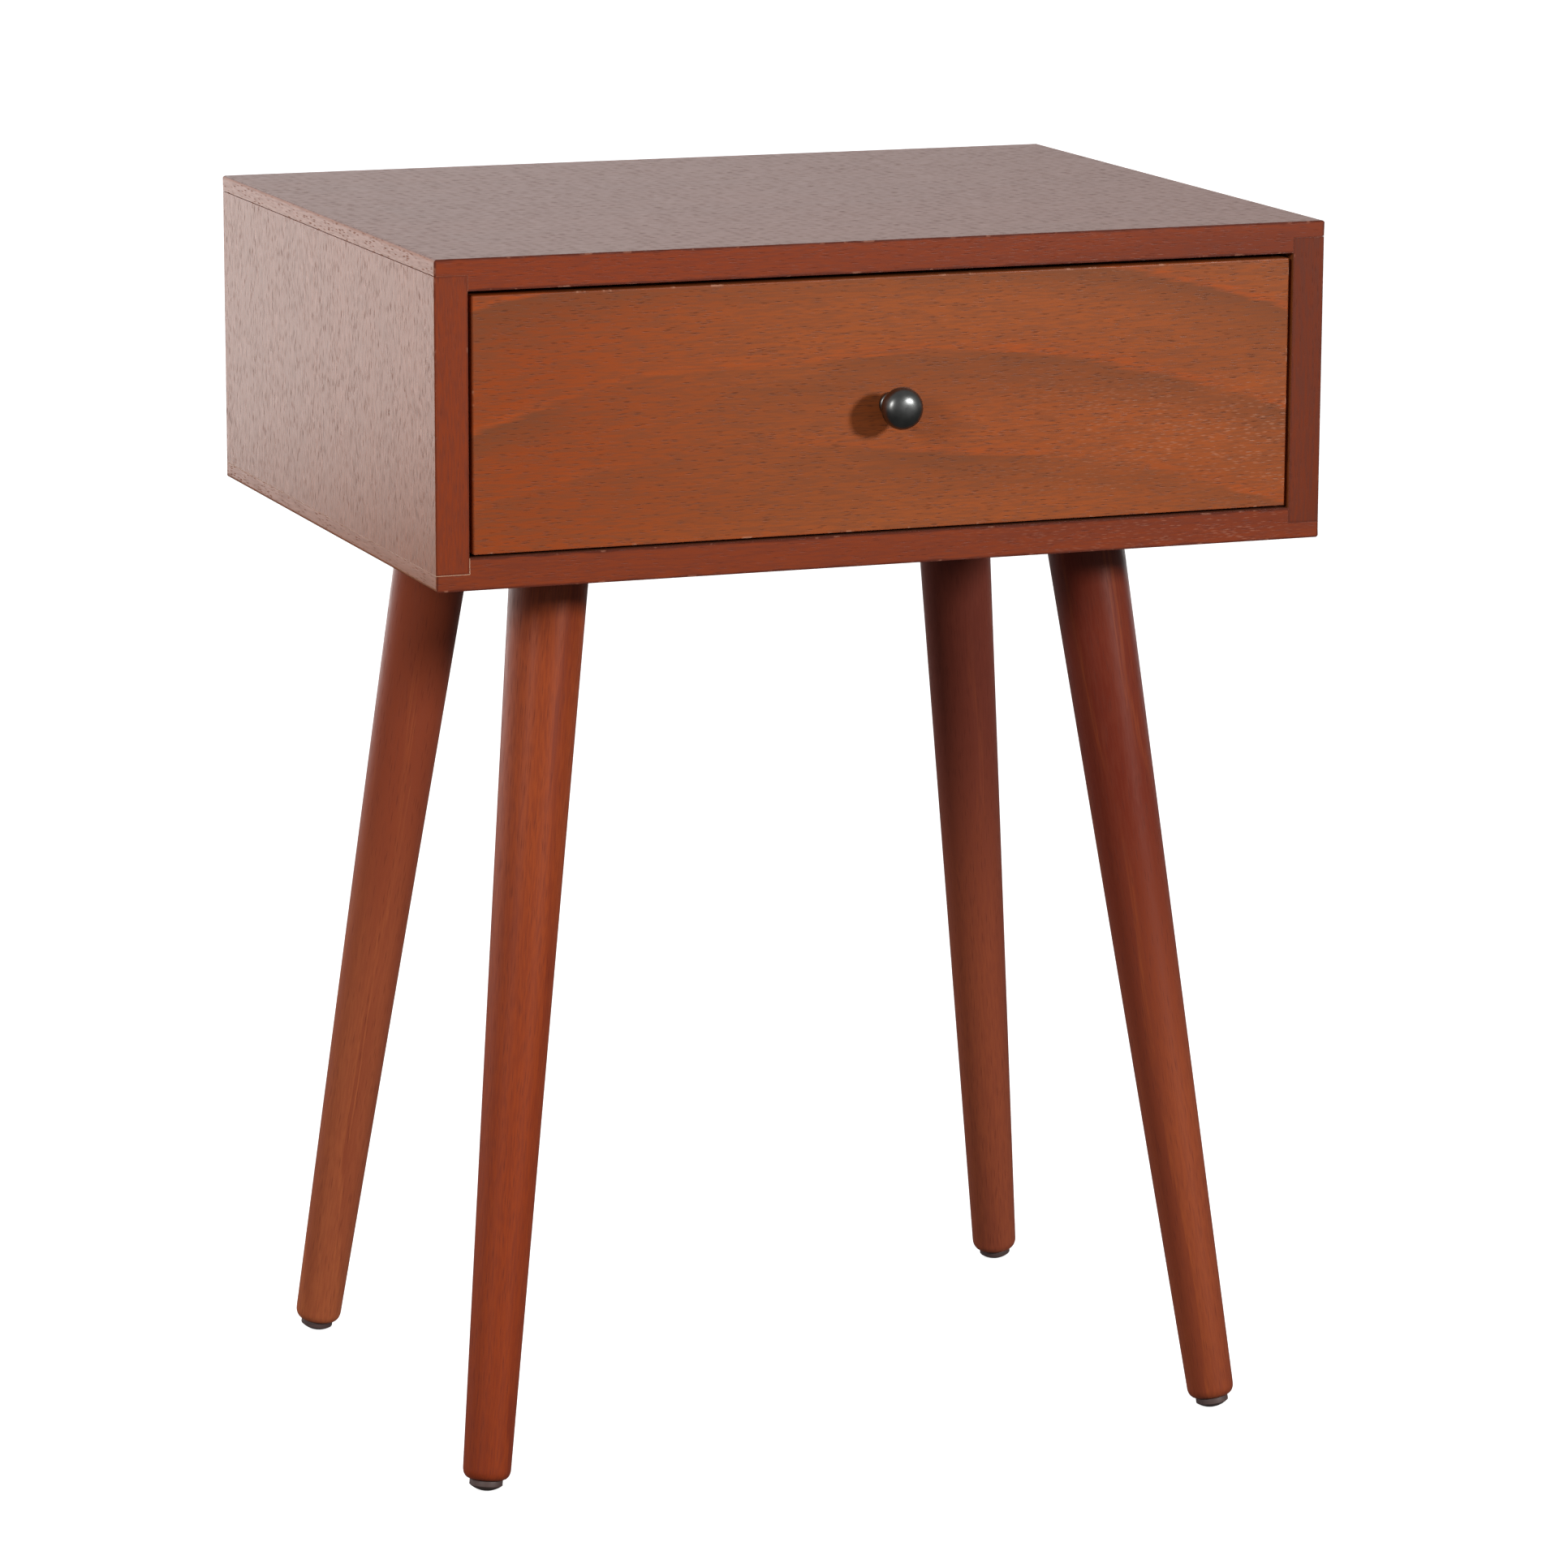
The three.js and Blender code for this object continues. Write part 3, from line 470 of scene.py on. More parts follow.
WOOD_LOOK = {
    "drift": None,  # a tone, and where along the grain it starts and is complete; on the legs and the drawer front it is partly painted light and shade
    "roughness": 0.36,
    "specular": 0.28,
    "coat": 0.0,
    "coat_roughness": 0.25,
    "pores": 0.55,
    "pore_length": 1.0,
    "flecks": 0.0,
    "streaks": 0.5,
    "fibres": 0.45,
    "ring_strength": 0.6,
    "feather": 0.009,
    "arris_width": 1.6 * MM,
    "arris_strength": 0.6,
    "scuffs": 0.0,
    "relief": 0.08 * MM,
    "relief_strength": 0.6,
    "pore_shine": 0.3,
}


def wood(name, tones, grain, seed, rings=None, box=None, **changes):
    """Stained, lacquered wood: tonal streaks, growth rings, fibres, open pores and worn arrises.

    rings is (arch middle, arch rate, ring width): lines of growth that arch over a point on the grain axis.
    box is the piece's lowest and highest corner, for darker arrises.
    """
    look = {**WOOD_LOOK, **changes}
    recipe = material_recipe(name)
    axes = recipe.split(recipe.object_place())
    order = GRAIN_ORDER[grain]
    along, across, into = (axes[i] for i in order)
    plain = recipe.joined(along, across, into)
    shifted = recipe.moved(plain, tuple(seed * step for step in SEED_STEP))

    streaks = recipe.noise(recipe.scaled(shifted, *STREAK), detail=3.0)
    fibres = recipe.noise(recipe.scaled(shifted, *FIBRE), detail=2.0)
    patches = recipe.noise(recipe.scaled(shifted, *PATCH), detail=1.0)
    greyed = recipe.ranged(streaks, *STREAK_LEVELS, 0.0, look["streaks"])
    colour = recipe.mix(greyed, tones["base"], tones["grey"])
    warmed = recipe.ranged(patches, *PATCH_LEVELS, 0.0, look["streaks"])
    colour = recipe.mix(warmed, colour, tones["warm"])
    # a drift towards another tone along the grain; on the legs and the drawer front it is partly painted
    # light and shade
    if look["drift"]:
        tone, start, end = look["drift"]
        colour = recipe.mix(recipe.ranged(along, start, end), colour, tone)
    if rings:
        colour = with_rings(recipe, colour, tones, (along, across), shifted, rings, look)
    thread = recipe.ranged(fibres, *FIBRE_LEVELS, 0.0, look["fibres"])
    colour = recipe.mix(thread, colour, tones["grey"])

    pores = pore_mask(recipe, shifted, look["pore_length"])
    colour = recipe.mix(recipe.math("MULTIPLY", pores, look["pores"]), colour, tones["pore"])
    if look["flecks"]:
        colour = with_flecks(recipe, colour, tones, shifted, along, look)
    if box:
        colour = with_arrises(recipe, colour, tones, box, seed, look)

    relief = recipe.math("MULTIPLY_ADD", fibres, FIBRE_RELIEF, recipe.math("SUBTRACT", 1.0, pores))
    shine = [look["roughness"] + change for change in SHINE_REACH]
    smooth = recipe.ranged(fibres, *SHINE_LEVELS, *shine)
    roughness = recipe.math("MULTIPLY_ADD", pores, look["pore_shine"], smooth)
    return recipe.finish({
        "Base Color": colour,
        "Roughness": roughness,
        "Specular IOR Level": look["specular"],
        "Coat Weight": look["coat"],
        "Coat Roughness": look["coat_roughness"],
        "Normal": recipe.bump(relief, look["relief"], look["relief_strength"]),
    })


def with_rings(recipe, colour, tones, face, shifted, rings, look):
    """Growth rings: each line is warm, with a grey shade that deepens towards it from one side."""
    middle, rate, width = rings
    along, across = face
    offset = recipe.math("SUBTRACT", along, middle)
    arch = recipe.math("MULTIPLY", recipe.math("MULTIPLY", offset, offset), rate)
    warp = recipe.noise(recipe.scaled(shifted, *RING_WARP), detail=1.0)
    feather = recipe.noise(recipe.scaled(shifted, *RING_FEATHER), detail=2.0)
    height = recipe.math("ADD", across, arch)
    height = recipe.math("MULTIPLY_ADD", warp, RING_WARP_REACH, height)
    height = recipe.math("MULTIPLY_ADD", feather, look["feather"], height)
    turn = recipe.math("FRACT", recipe.math("DIVIDE", height, width))
    shade = recipe.ramp(turn, RING_SHADE)
    line = recipe.ramp(turn, RING_LINE)
    where = recipe.ranged(recipe.noise(recipe.scaled(shifted, *RING_PATCH), detail=3.0), *RING_LEVELS)
    reach = recipe.math("MULTIPLY", where, look["ring_strength"])
    colour = recipe.mix(recipe.math("MULTIPLY", shade, reach), colour, tones["grey"])
    return recipe.mix(recipe.math("MULTIPLY", line, reach), colour, tones["warm"])


def pore_mask(recipe, shifted, length):
    """Short open pores along the grain: 1 in a pore, 0 between them. Each row has its own shift."""
    along, across, into = recipe.split(recipe.scaled(shifted, PORE[0] / length, PORE[1]))
    row = recipe.math("FLOOR", across)
    shift = recipe.node("TexWhiteNoise", {"W": row}, noise_dimensions="1D").outputs["Value"]
    rows = recipe.joined(recipe.math("MULTIPLY_ADD", shift, PORE_SHIFT, along), across, into)
    distance, chance = recipe.cells(rows)
    core = recipe.ranged(distance, *PORE_EDGE, 1.0, 0.0)
    crowd = recipe.noise(recipe.scaled(shifted, *PORE_CROWD), detail=2.0)
    chosen = recipe.ranged(recipe.math("ADD", chance, crowd), *PORE_CHANCE)
    return recipe.math("MULTIPLY", core, chosen)


def with_flecks(recipe, colour, tones, shifted, along, look):
    """Pores filled with pale finish, in patches that grow towards the high end of the grain axis."""
    start, end = look["fleck_reach"]
    mask = pore_mask(recipe, recipe.moved(shifted, FLECK_SHIFT), FLECK_LENGTH)
    patch = recipe.ranged(recipe.noise(recipe.scaled(shifted, *FLECK_PATCH), detail=2.0), *FLECK_LEVELS)
    where = recipe.math("MULTIPLY", patch, recipe.ranged(along, start, end))
    share = recipe.math("MULTIPLY", recipe.math("MULTIPLY", mask, where), look["flecks"])
    return recipe.mix(share, colour, tones["fleck"])


def with_arrises(recipe, colour, tones, box, seed, look):
    """Arrises that hold more stain, and scuffs where the stain is rubbed off them."""
    distance = edge_distance(recipe, *box)
    place = recipe.moved(recipe.object_place(), (seed, seed, seed))
    wobble = recipe.noise(place, detail=2.0, scale=ARRIS_NOISE)
    width = recipe.math("MULTIPLY", wobble, look["arris_width"] * 2)
    share = recipe.math("DIVIDE", distance, width)
    near = recipe.ranged(share, *ARRIS_EDGE, look["arris_strength"], 0.0)
    colour = recipe.mix(near, colour, tones["arris"])
    if not look["scuffs"]:
        return colour
    rubbed = recipe.ranged(recipe.noise(place, detail=3.0, scale=SCUFF_NOISE), *SCUFF_LEVELS)
    edge = recipe.ranged(distance, *SCUFF_EDGE, look["scuffs"], 0.0)
    return recipe.mix(recipe.math("MULTIPLY", rubbed, edge), colour, tones["fleck"])


# ---- metals, plastics and paint


METAL = {
    "metallic": 1.0, "clouds": 90.0, "levels": (0.3, 0.75), "grain": 2600.0,
    "shine": 0.16, "relief": 0.01 * MM, "relief_strength": 0.35,
}
PLASTIC = {
    "metallic": 0.0, "clouds": 55.0, "levels": (0.3, 0.7), "grain": 900.0,
    "shine": 0.14, "relief": 0.03 * MM, "relief_strength": 0.4,
}
SMOOTH_PLASTIC = {**PLASTIC, "relief": 0.015 * MM}


def clouded(name, kind, tones, roughness, seed):
    """Plated metal, moulded plastic or enamel, with clouds of tone. Clouds roughen metal, grain the rest."""
    recipe = material_recipe(name)
    place = recipe.moved(recipe.object_place(), (seed, seed, seed))
    clouds = recipe.noise(place, detail=3.0, scale=kind["clouds"])
    grain = recipe.noise(place, detail=2.0, scale=kind["grain"])
    rougher = clouds if kind["metallic"] else grain
    smoothest = roughness - kind["shine"] / 2
    return recipe.finish({
        "Base Color": recipe.mix(recipe.ranged(clouds, *kind["levels"]), *tones),
        "Metallic": kind["metallic"],
        "Roughness": recipe.math("MULTIPLY_ADD", rougher, kind["shine"], smoothest),
        "Normal": recipe.bump(grain, kind["relief"], kind["relief_strength"]),
    })


# ---- mesh helpers


def new_object(name, data):
    made = bpy.data.objects.new(name, data)
    bpy.context.scene.collection.objects.link(made)
    return made


def object_of(name, bm, materials):
    """A finished object from a bmesh: outward normals, smooth where the surface bends little."""
    bmesh.ops.recalc_face_normals(bm, faces=bm.faces)
    mesh = bpy.data.meshes.new(name)
    bm.to_mesh(mesh)
    bm.free()
    for polygon in mesh.polygons:
        polygon.use_smooth = True
    mesh.set_sharp_from_angle(angle=SMOOTH_ANGLE)
    for material in materials:
        mesh.materials.append(material)
    return new_object(name, mesh)


def keep_flat(made):
    """Keeps large flat faces flat where they run into a rounded arris."""
    modifier = made.modifiers.new("flat_faces", "WEIGHTED_NORMAL")
    modifier.keep_sharp = True
    modifier.weight = FLAT_WEIGHT


def join_rings(bm, low, high):
    """Faces between two rings of vertices, either of which may be a single point."""
    sides = max(len(low), len(high))
    for i in range(sides):
        after = (i + 1) % sides
        if len(low) == 1:
            bm.faces.new((low[0], high[after], high[i]))
        elif len(high) == 1:
            bm.faces.new((low[i], low[after], high[0]))
        else:
            bm.faces.new((low[i], low[after], high[after], high[i]))


def circle(radius, sides):
    turns = [2 * math.pi * i / sides for i in range(sides)]
    return [(radius * math.cos(turn), radius * math.sin(turn)) for turn in turns]


def ring(bm, radius, height, sides):
    if radius < AXIS_RADIUS:
        return [bm.verts.new((0, 0, height))]
    return [bm.verts.new((x, y, height)) for x, y in circle(radius, sides)]


def lathe(profile, sides, hollow=False):
    """A profile of (radius, height) points turned about Z. A hollow one joins its end to its start."""
    bm = bmesh.new()
    rings = [ring(bm, radius, height, sides) for radius, height in profile]
    for low, high in zip(rings, rings[1:]):
        join_rings(bm, low, high)
    if hollow:
        join_rings(bm, rings[-1], rings[0])
    return bm


def arc(centre, radii, start, end, steps):
    """(radius, height) points of an elliptic arc, from one turn to another in degrees."""
    points = []
    for step in range(steps + 1):
        turn = math.radians(start + (end - start) * step / steps)
        points.append((centre[0] + radii[0] * math.cos(turn), centre[1] + radii[1] * math.sin(turn)))
    return points


def axis_matrix(place, direction):
    """Stands a piece made about +Z at a place, with its +Z along a direction."""
    turn = Vector(direction).to_track_quat("Z", "Y").to_matrix().to_4x4()
    return Matrix.Translation(place) @ turn


def clean_copy(node):
    """A CAD node's shape as a bmesh, without its triangulation."""
    source = frame["nodes"][node].data
    bm = bmesh.new()
    corners = [bm.verts.new(v.co) for v in source.vertices]
    for polygon in source.polygons:
        bm.faces.new([corners[i] for i in polygon.vertices])
    bmesh.ops.remove_doubles(bm, verts=bm.verts, dist=WELD)
    bmesh.ops.dissolve_limit(bm, angle_limit=FLAT_ANGLE, verts=bm.verts, edges=bm.edges)
    return bm


def eased(bm, width, share_of):
    """The shape with its convex arrises rounded. share_of gives each edge's share of the width."""
    layer = bm.edges.layers.float.new("bevel_weight_edge")
    for edge in bm.edges:
        if len(edge.link_faces) != 2 or not edge.is_convex or edge.calc_length() < SHORT_EDGE:
            continue
        if edge.calc_face_angle() > SHARP_ANGLE:
            edge[layer] = share_of((edge.verts[0].co + edge.verts[1].co) / 2)
    mesh = bpy.data.meshes.new("easing")
    bm.to_mesh(mesh)
    bm.free()
    holder = new_object("easing", mesh)
    modifier = holder.modifiers.new("arris", "BEVEL")
    modifier.limit_method = "WEIGHT"
    modifier.width = width
    modifier.segments = ARRIS_STEPS
    modifier.use_clamp_overlap = False
    made = bmesh.new()
    made.from_object(holder, bpy.context.evaluated_depsgraph_get())
    bpy.data.objects.remove(holder)
    return made


def settle(made, body, slot, *nodes):
    """Every finished piece rides on its body and stands for its CAD nodes, if any. Its slot, the name of its
    finish, is not used.
    """
    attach(made, body)
    if nodes:
        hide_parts(*nodes)


def middle_of(node):
    low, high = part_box(node)
    return (low + high) / 2


def reach_of(node):
    """How far from the table's middle plane a piece on one side starts and ends."""
    low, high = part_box(node)
    return sorted((abs(low.x), abs(high.x)))


# ---- boards

CASE_LOW, CASE_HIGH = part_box("bottom_panel")[0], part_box("top_panel")[1]
CASE_MIDDLE_Y = (CASE_LOW.y + CASE_HIGH.y) / 2


def outer_share(middle):
    """1 on the outer edges of the case, and less along its joints and inner edges."""
    on_face = sum(
        abs(value - low) < ON_FACE or abs(value - high) < ON_FACE
        for value, low, high in zip(middle, CASE_LOW, CASE_HIGH)
    )
    return 1.0 if on_face >= 2 else JOINT_ARRIS_SHARE


def full_share(middle):
    return 1.0


def board(node, body, slot, materials, width, share_of=full_share):
    """A board with rounded arrises. A second material is for its front edge and a third for its ends."""
    bm = eased(clean_copy(node), width, share_of)
    bm.normal_update()
    for face in bm.faces:
        if len(materials) > 1 and face.normal.y < -LOOKS_THAT_WAY:
            face.material_index = 1
        elif len(materials) > 2 and abs(face.normal.x) > LOOKS_THAT_WAY:
            face.material_index = 2
    made = object_of(f"{node}_board", bm, materials)
    keep_flat(made)
    settle(made, body, slot, node)


def case_boards():
    for seed, node in enumerate(("top_panel", "bottom_panel")):
        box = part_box(node)
        veneer = wood(f"{node}_veneer", TOP_WOOD, "X", 1.0 + seed, rings=(0.05, 0.9, 0.07),
                      box=box, ring_strength=0.2, arris_width=0.8 * MM, arris_strength=0.5,
                      roughness=0.38, specular=0.33, pores=0.8, streaks=0.15, fibres=0.6, relief=0.1 * MM)
        band = wood(f"{node}_front_band", BAND_WOOD, "X", 3.0 + seed, box=box, flecks=0.5,
                    fleck_reach=(-0.05, 0.2), scuffs=0.5, arris_width=1.6 * MM, arris_strength=0.8,
                    specular=0.2, pores=0.4)
        ends = wood(f"{node}_end_band", SIDE_WOOD, "Y", 33.0 + seed, box=box, roughness=0.33,
                    arris_width=0.6 * MM, arris_strength=0.2, pores=0.3, streaks=0.25)
        board(node, "case", "case_veneer", [veneer, band, ends], CASE_ARRIS, outer_share)
    for seed, side in enumerate(SIDES):
        node = f"side_panel_{side}"
        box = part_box(node)
        veneer = wood(f"{node}_veneer", SIDE_WOOD, "Z", 5.0 + seed, rings=(0.58, 0.5, 0.055),
                      box=box, ring_strength=0.12, arris_width=0.8 * MM, arris_strength=0.4,
                      roughness=0.29, specular=0.22, pores=0.6, streaks=0.15, fibres=0.6,
                      relief=0.09 * MM, relief_strength=0.8)
        band = wood(f"{node}_front_band", STILE_WOOD[side], "Z", 7.0 + seed, box=box,
                    specular=0.2, scuffs=0.3, arris_width=1.2 * MM, arris_strength=0.4, pores=0.3,
                    streaks=0.6)
        board(node, "case", "case_veneer", [veneer, band], CASE_ARRIS, outer_share)
    ply = wood("back_board_ply", BACK_WOOD, "X", 9.0, rings=(0.0, 0.6, 0.06), box=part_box("back_panel"),
               roughness=0.62, specular=0.3, pores=0.5)
    board("back_panel", "case", "back_board", [ply], BACK_ARRIS)


def glue_lines():
    """The thin line of glue and finish in each corner joint: along the rabbet's land and its shoulder."""
    lower = wood("glue_line_pale", GLUE_PALE, "Y", 11.0, pores=0.2, roughness=0.45)
    upper = wood("glue_line_faint", GLUE_FAINT, "Y", 12.0, pores=0.2, roughness=0.45)
    stained = wood("glue_line_stained", STILE_WOOD["right"], "Y", 12.0, pores=0.2, roughness=0.45)
    tones = {"left": (lower, upper), "right": (stained, stained)}
    for side, sign in SIDES.items():
        low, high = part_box(f"side_panel_{side}")
        inner, outer = reach_of(f"side_panel_{side}")
        y = (low.y + GLUE_RECESS_FRONT, high.y - GLUE_RECESS)
        bottom_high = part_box("bottom_panel")[1].z
        top_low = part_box("top_panel")[0].z
        joints = (
            ("lower", low.z - HOLE_PLAY, low.z, bottom_high, GLUE_RECESS, tones[side][0]),
            ("upper", high.z + HOLE_PLAY, high.z, top_low, GLUE_RECESS_TOP, tones[side][1]),
        )
        for name, land, rest, shoulder_end, recess, tone in joints:
            section = (
                (inner - HOLE_PLAY, land),
                (outer - recess, land),
                (outer - recess, rest),
                (inner, rest),
                (inner, shoulder_end),
                (inner - HOLE_PLAY, shoulder_end),
            )
            made = object_of(f"glue_line_{side}_{name}", rough_strip(section, sign, y), [tone])
            settle(made, "case", "case_veneer")


def rough_strip(section, sign, y):
    """A section of (x, z) points run along Y. Its outermost points waver inwards."""
    bm = bmesh.new()
    reach = max(x for x, z in section)
    rings = []
    for step in range(GLUE_STEPS + 1):
        along = y[0] + (y[1] - y[0]) * step / GLUE_STEPS
        rough = GLUE_ROUGH * (1 + noise.noise(Vector((sign, along * GLUE_NOISE, 0)))) / 2
        places = [(x - rough if x == reach else x, z) for x, z in section]
        rings.append([bm.verts.new((sign * x, along, z)) for x, z in places])
    for near, far in zip(rings, rings[1:]):
        join_rings(bm, near, far)
    bm.faces.new(rings[0])
    bm.faces.new(rings[-1])
    return bm


def drawer_boards():
    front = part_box("drawer_front")
    # the drift to the left-end tone is partly painted shade
    veneer = wood("drawer_front_veneer", DRAWER_WOOD, "X", 13.0, rings=(-0.02, 0.7, 0.05), box=front,
                  ring_strength=0.72, flecks=0.5, fleck_reach=(0.0, 0.22), arris_width=1.0 * MM,
                  arris_strength=0.45, scuffs=0.6, pores=0.6, streaks=0.35, fibres=0.5, specular=0.22,
                  drift=(DRAWER_LEFT_TONE_AND_SHADE, 0.0, -0.22))
    board("drawer_front", "drawer", "drawer_veneer", [veneer], DRAWER_ARRIS)
    for seed, (node, grain) in enumerate((("drawer_side_left", "Y"), ("drawer_side_right", "Y"),
                                          ("drawer_back", "X"), ("drawer_bottom", "X"))):
        pale = wood(f"{node}_wood", BOX_WOOD, grain, 15.0 + seed, rings=(0.0, 0.4, 0.035),
                    box=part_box(node), ring_strength=0.4, arris_strength=0.3, roughness=0.52,
                    pores=0.3, relief=0.03 * MM)
        width = BACK_ARRIS if node == "drawer_bottom" else BOX_ARRIS
        board(node, "drawer", "drawer_box_wood", [pale], width)


# ---- legs

CASE_UNDER = CASE_LOW.z
LEAN = math.hypot(LEG_FOOT_PLACE[0] - LEG_TOP_PLACE[0], LEG_FOOT_PLACE[1] - LEG_TOP_PLACE[1])
SPLAY = math.atan(LEAN / CASE_UNDER)
AXIS_TOP = CASE_UNDER / math.cos(SPLAY)
LEG_TOP = (CASE_UNDER - LEG_TOP_DROP) / math.cos(SPLAY)


def corner_points(corner):
    """Where a leg's axis meets the floor and the underside of the case."""
    side_x, side_y = CORNERS[corner]
    foot = Vector((side_x * LEG_FOOT_PLACE[0], CASE_MIDDLE_Y + side_y * LEG_FOOT_PLACE[1], 0))
    top = Vector((side_x * LEG_TOP_PLACE[0], CASE_MIDDLE_Y + side_y * LEG_TOP_PLACE[1], CASE_UNDER))
    return foot, top


def leg_matrix(corner):
    foot, top = corner_points(corner)
    return axis_matrix(foot, top - foot)


def leg_radius(along):
    return LEG_RADIUS_FLOOR + (LEG_RADIUS_TOP - LEG_RADIUS_FLOOR) * along / AXIS_TOP


def leg_profile():
    nail = NAIL_RADIUS + HOLE_PLAY
    bolt = BOLT_RADIUS + HOLE_PLAY
    nail_end = LEG_FOOT_RISE + NAIL_LONG + HOLE_PLAY
    bolt_end = LEG_TOP - BOLT_IN_LEG - HOLE_PLAY
    shoulder = LEG_FOOT_RISE + LEG_FOOT_UPWARD
    inset = leg_radius(shoulder) - LEG_FOOT_INWARD
    profile = [(0, nail_end), (nail, nail_end), (nail, LEG_FOOT_RISE)]
    profile += arc((inset, shoulder), (LEG_FOOT_INWARD, LEG_FOOT_UPWARD), -90, 0, FOOT_STEPS)
    chamfer_low = LEG_TOP - LEG_TOP_CHAMFER
    profile += [
        (leg_radius(chamfer_low), chamfer_low),
        (leg_radius(LEG_TOP) - LEG_TOP_CHAMFER, LEG_TOP),
        (bolt, LEG_TOP),
        (bolt, bolt_end),
        (0, bolt_end),
    ]
    return profile


def legs():
    for seed, corner in enumerate(CORNERS):
        # the drift paints the case's shade near the top of three legs, and painted light near the front left
        # leg's top
        turned = wood(f"leg_{corner}_wood", LEG_TONE_AND_PAINTED_LIGHT[corner], "Z", 21.0 + seed, rings=(0.2, 0.05, 0.019),
                      ring_strength=0.55, pores=0.4, pore_length=1.8, roughness=0.36, specular=0.18,
                      coat=0.12, coat_roughness=0.28, streaks=0.75, fibres=0.35, relief=0.03 * MM,
                      drift=(LEG_UPPER_PAINTED_LIGHT_AND_SHADE[corner], *LEG_PAINTED_LIGHT_AND_SHADE_REACH))
        made = object_of(f"leg_{corner}_turned", lathe(leg_profile(), LEG_SIDES), [turned])
        made.matrix_world = leg_matrix(corner)
        settle(made, "case", "leg_wood", f"leg_{corner}")


def glide_profile():
    middle = (GLIDE_DOME - GLIDE_FLAT) / math.cos(SPLAY)
    edge = math.degrees(math.acos(GLIDE_RADIUS / GLIDE_DOME))
    profile = arc((0, middle), (GLIDE_DOME, GLIDE_DOME), -90, -edge, DOME_STEPS)
    rim_centre = (GLIDE_RADIUS - GLIDE_RIM, GLIDE_TOP - GLIDE_RIM)
    profile += arc(rim_centre, (GLIDE_RIM, GLIDE_RIM), 0, 90, RIM_STEPS)
    profile += [
        (NAIL_RADIUS, GLIDE_TOP),
        (NAIL_RADIUS, GLIDE_TOP + NAIL_LONG - NAIL_TIP),
        (0, GLIDE_TOP + NAIL_LONG),
    ]
    return profile


def foot_glides():
    plastic = clouded("glide_plastic", PLASTIC, GLIDE_TONES, 0.5, 31.0)
    for corner in CORNERS:
        made = object_of(f"foot_glide_{corner}_moulded", lathe(glide_profile(), LEG_SIDES), [plastic])
        made.matrix_world = leg_matrix(corner)
        back = made.matrix_world.inverted()
        for vertex in made.data.vertices:
            place = made.matrix_world @ vertex.co
            place.z = max(place.z, 0.0)
            vertex.co = back @ place
        settle(made, "case", "glide_plastic", f"foot_glide_{corner}")


def hanger_bolts(zinc):
    low = LEG_TOP - BOLT_IN_LEG
    high = LEG_TOP + BOLT_PAST_LEG
    profile = [(0, low)]
    along = low + BOLT_TIP
    while along < high - BOLT_PITCH:
        profile += [(BOLT_RADIUS, along), (BOLT_RADIUS - BOLT_THREAD, along + BOLT_PITCH / 2)]
        along += BOLT_PITCH
    profile += [(BOLT_RADIUS, along), (BOLT_RADIUS - BOLT_THREAD, high), (0, high)]
    for corner in CORNERS:
        made = object_of(f"hanger_bolt_{corner}_threaded", lathe(profile, SCREW_SIDES), [zinc])
        made.matrix_world = leg_matrix(corner)
        settle(made, "case", "zinc_steel", f"hanger_bolt_{corner}")


def leg_plates(zinc):
    for corner in CORNERS:
        foot, top = corner_points(corner)
        axis = (top - foot).normalized()
        face_place = foot + axis * (LEG_TOP + HOLE_PLAY)
        made = object_of(f"leg_plate_{corner}_pressed", plate_mesh(top, axis, face_place), [zinc])
        settle(made, "case", "zinc_steel", f"leg_plate_{corner}")


def plate_mesh(top, axis, face_place):
    """The round plate, its boss cut square to the leg, and the bolt's hole through both."""
    high = CASE_UNDER - PLATE_GAP
    low = high - PLATE_THICK
    bm = bmesh.new()

    def round_ring(radius, height):
        return [bm.verts.new((top.x + x, top.y + y, height)) for x, y in circle(radius, PLATE_SIDES)]

    def boss_ring(radius, lift):
        """A ring on the boss's slanted face, or lifted off it towards the plate."""
        made = round_ring(radius, 0)
        for vertex in made:
            reach = vertex.co - face_place
            vertex.co.z = face_place.z - (reach.x * axis.x + reach.y * axis.y) / axis.z + lift
        return made

    def hole_ring(height):
        """A ring of the bolt's hole, where the slanted hole crosses a level or the boss's face."""
        made = boss_ring(BOLT_RADIUS + HOLE_PLAY, 0)
        for vertex in made:
            shift = face_place + axis * ((vertex.co - face_place).dot(axis)) - top
            vertex.co.x += shift.x
            vertex.co.y += shift.y
            if height is not None:
                vertex.co += axis * ((height - vertex.co.z) / axis.z)
        return made

    rings = [
        hole_ring(high),
        hole_ring(None),
        boss_ring(BOSS_RADIUS - BOSS_EDGE, 0),
        boss_ring(BOSS_RADIUS, BOSS_EDGE),
        *[round_ring(BOSS_RADIUS + BOSS_FILLET * out, low - BOSS_FILLET * down)
          for out, down in BOSS_FILLET_STEPS],
        round_ring(BOSS_RADIUS + BOSS_FILLET, low + PLATE_STEP),
        round_ring(PLATE_STEP_RADIUS, low + PLATE_STEP),
        round_ring(PLATE_STEP_RADIUS + PLATE_STEP * 2, low),
        round_ring(PLATE_RADIUS - PLATE_EDGE, low),
        round_ring(PLATE_RADIUS, low + PLATE_EDGE),
        round_ring(PLATE_RADIUS, high - PLATE_EDGE),
        round_ring(PLATE_RADIUS - PLATE_EDGE, high),
    ]
    for near, far in zip(rings, rings[1:] + rings[:1]):
        join_rings(bm, near, far)
    return bm


# ---- fasteners


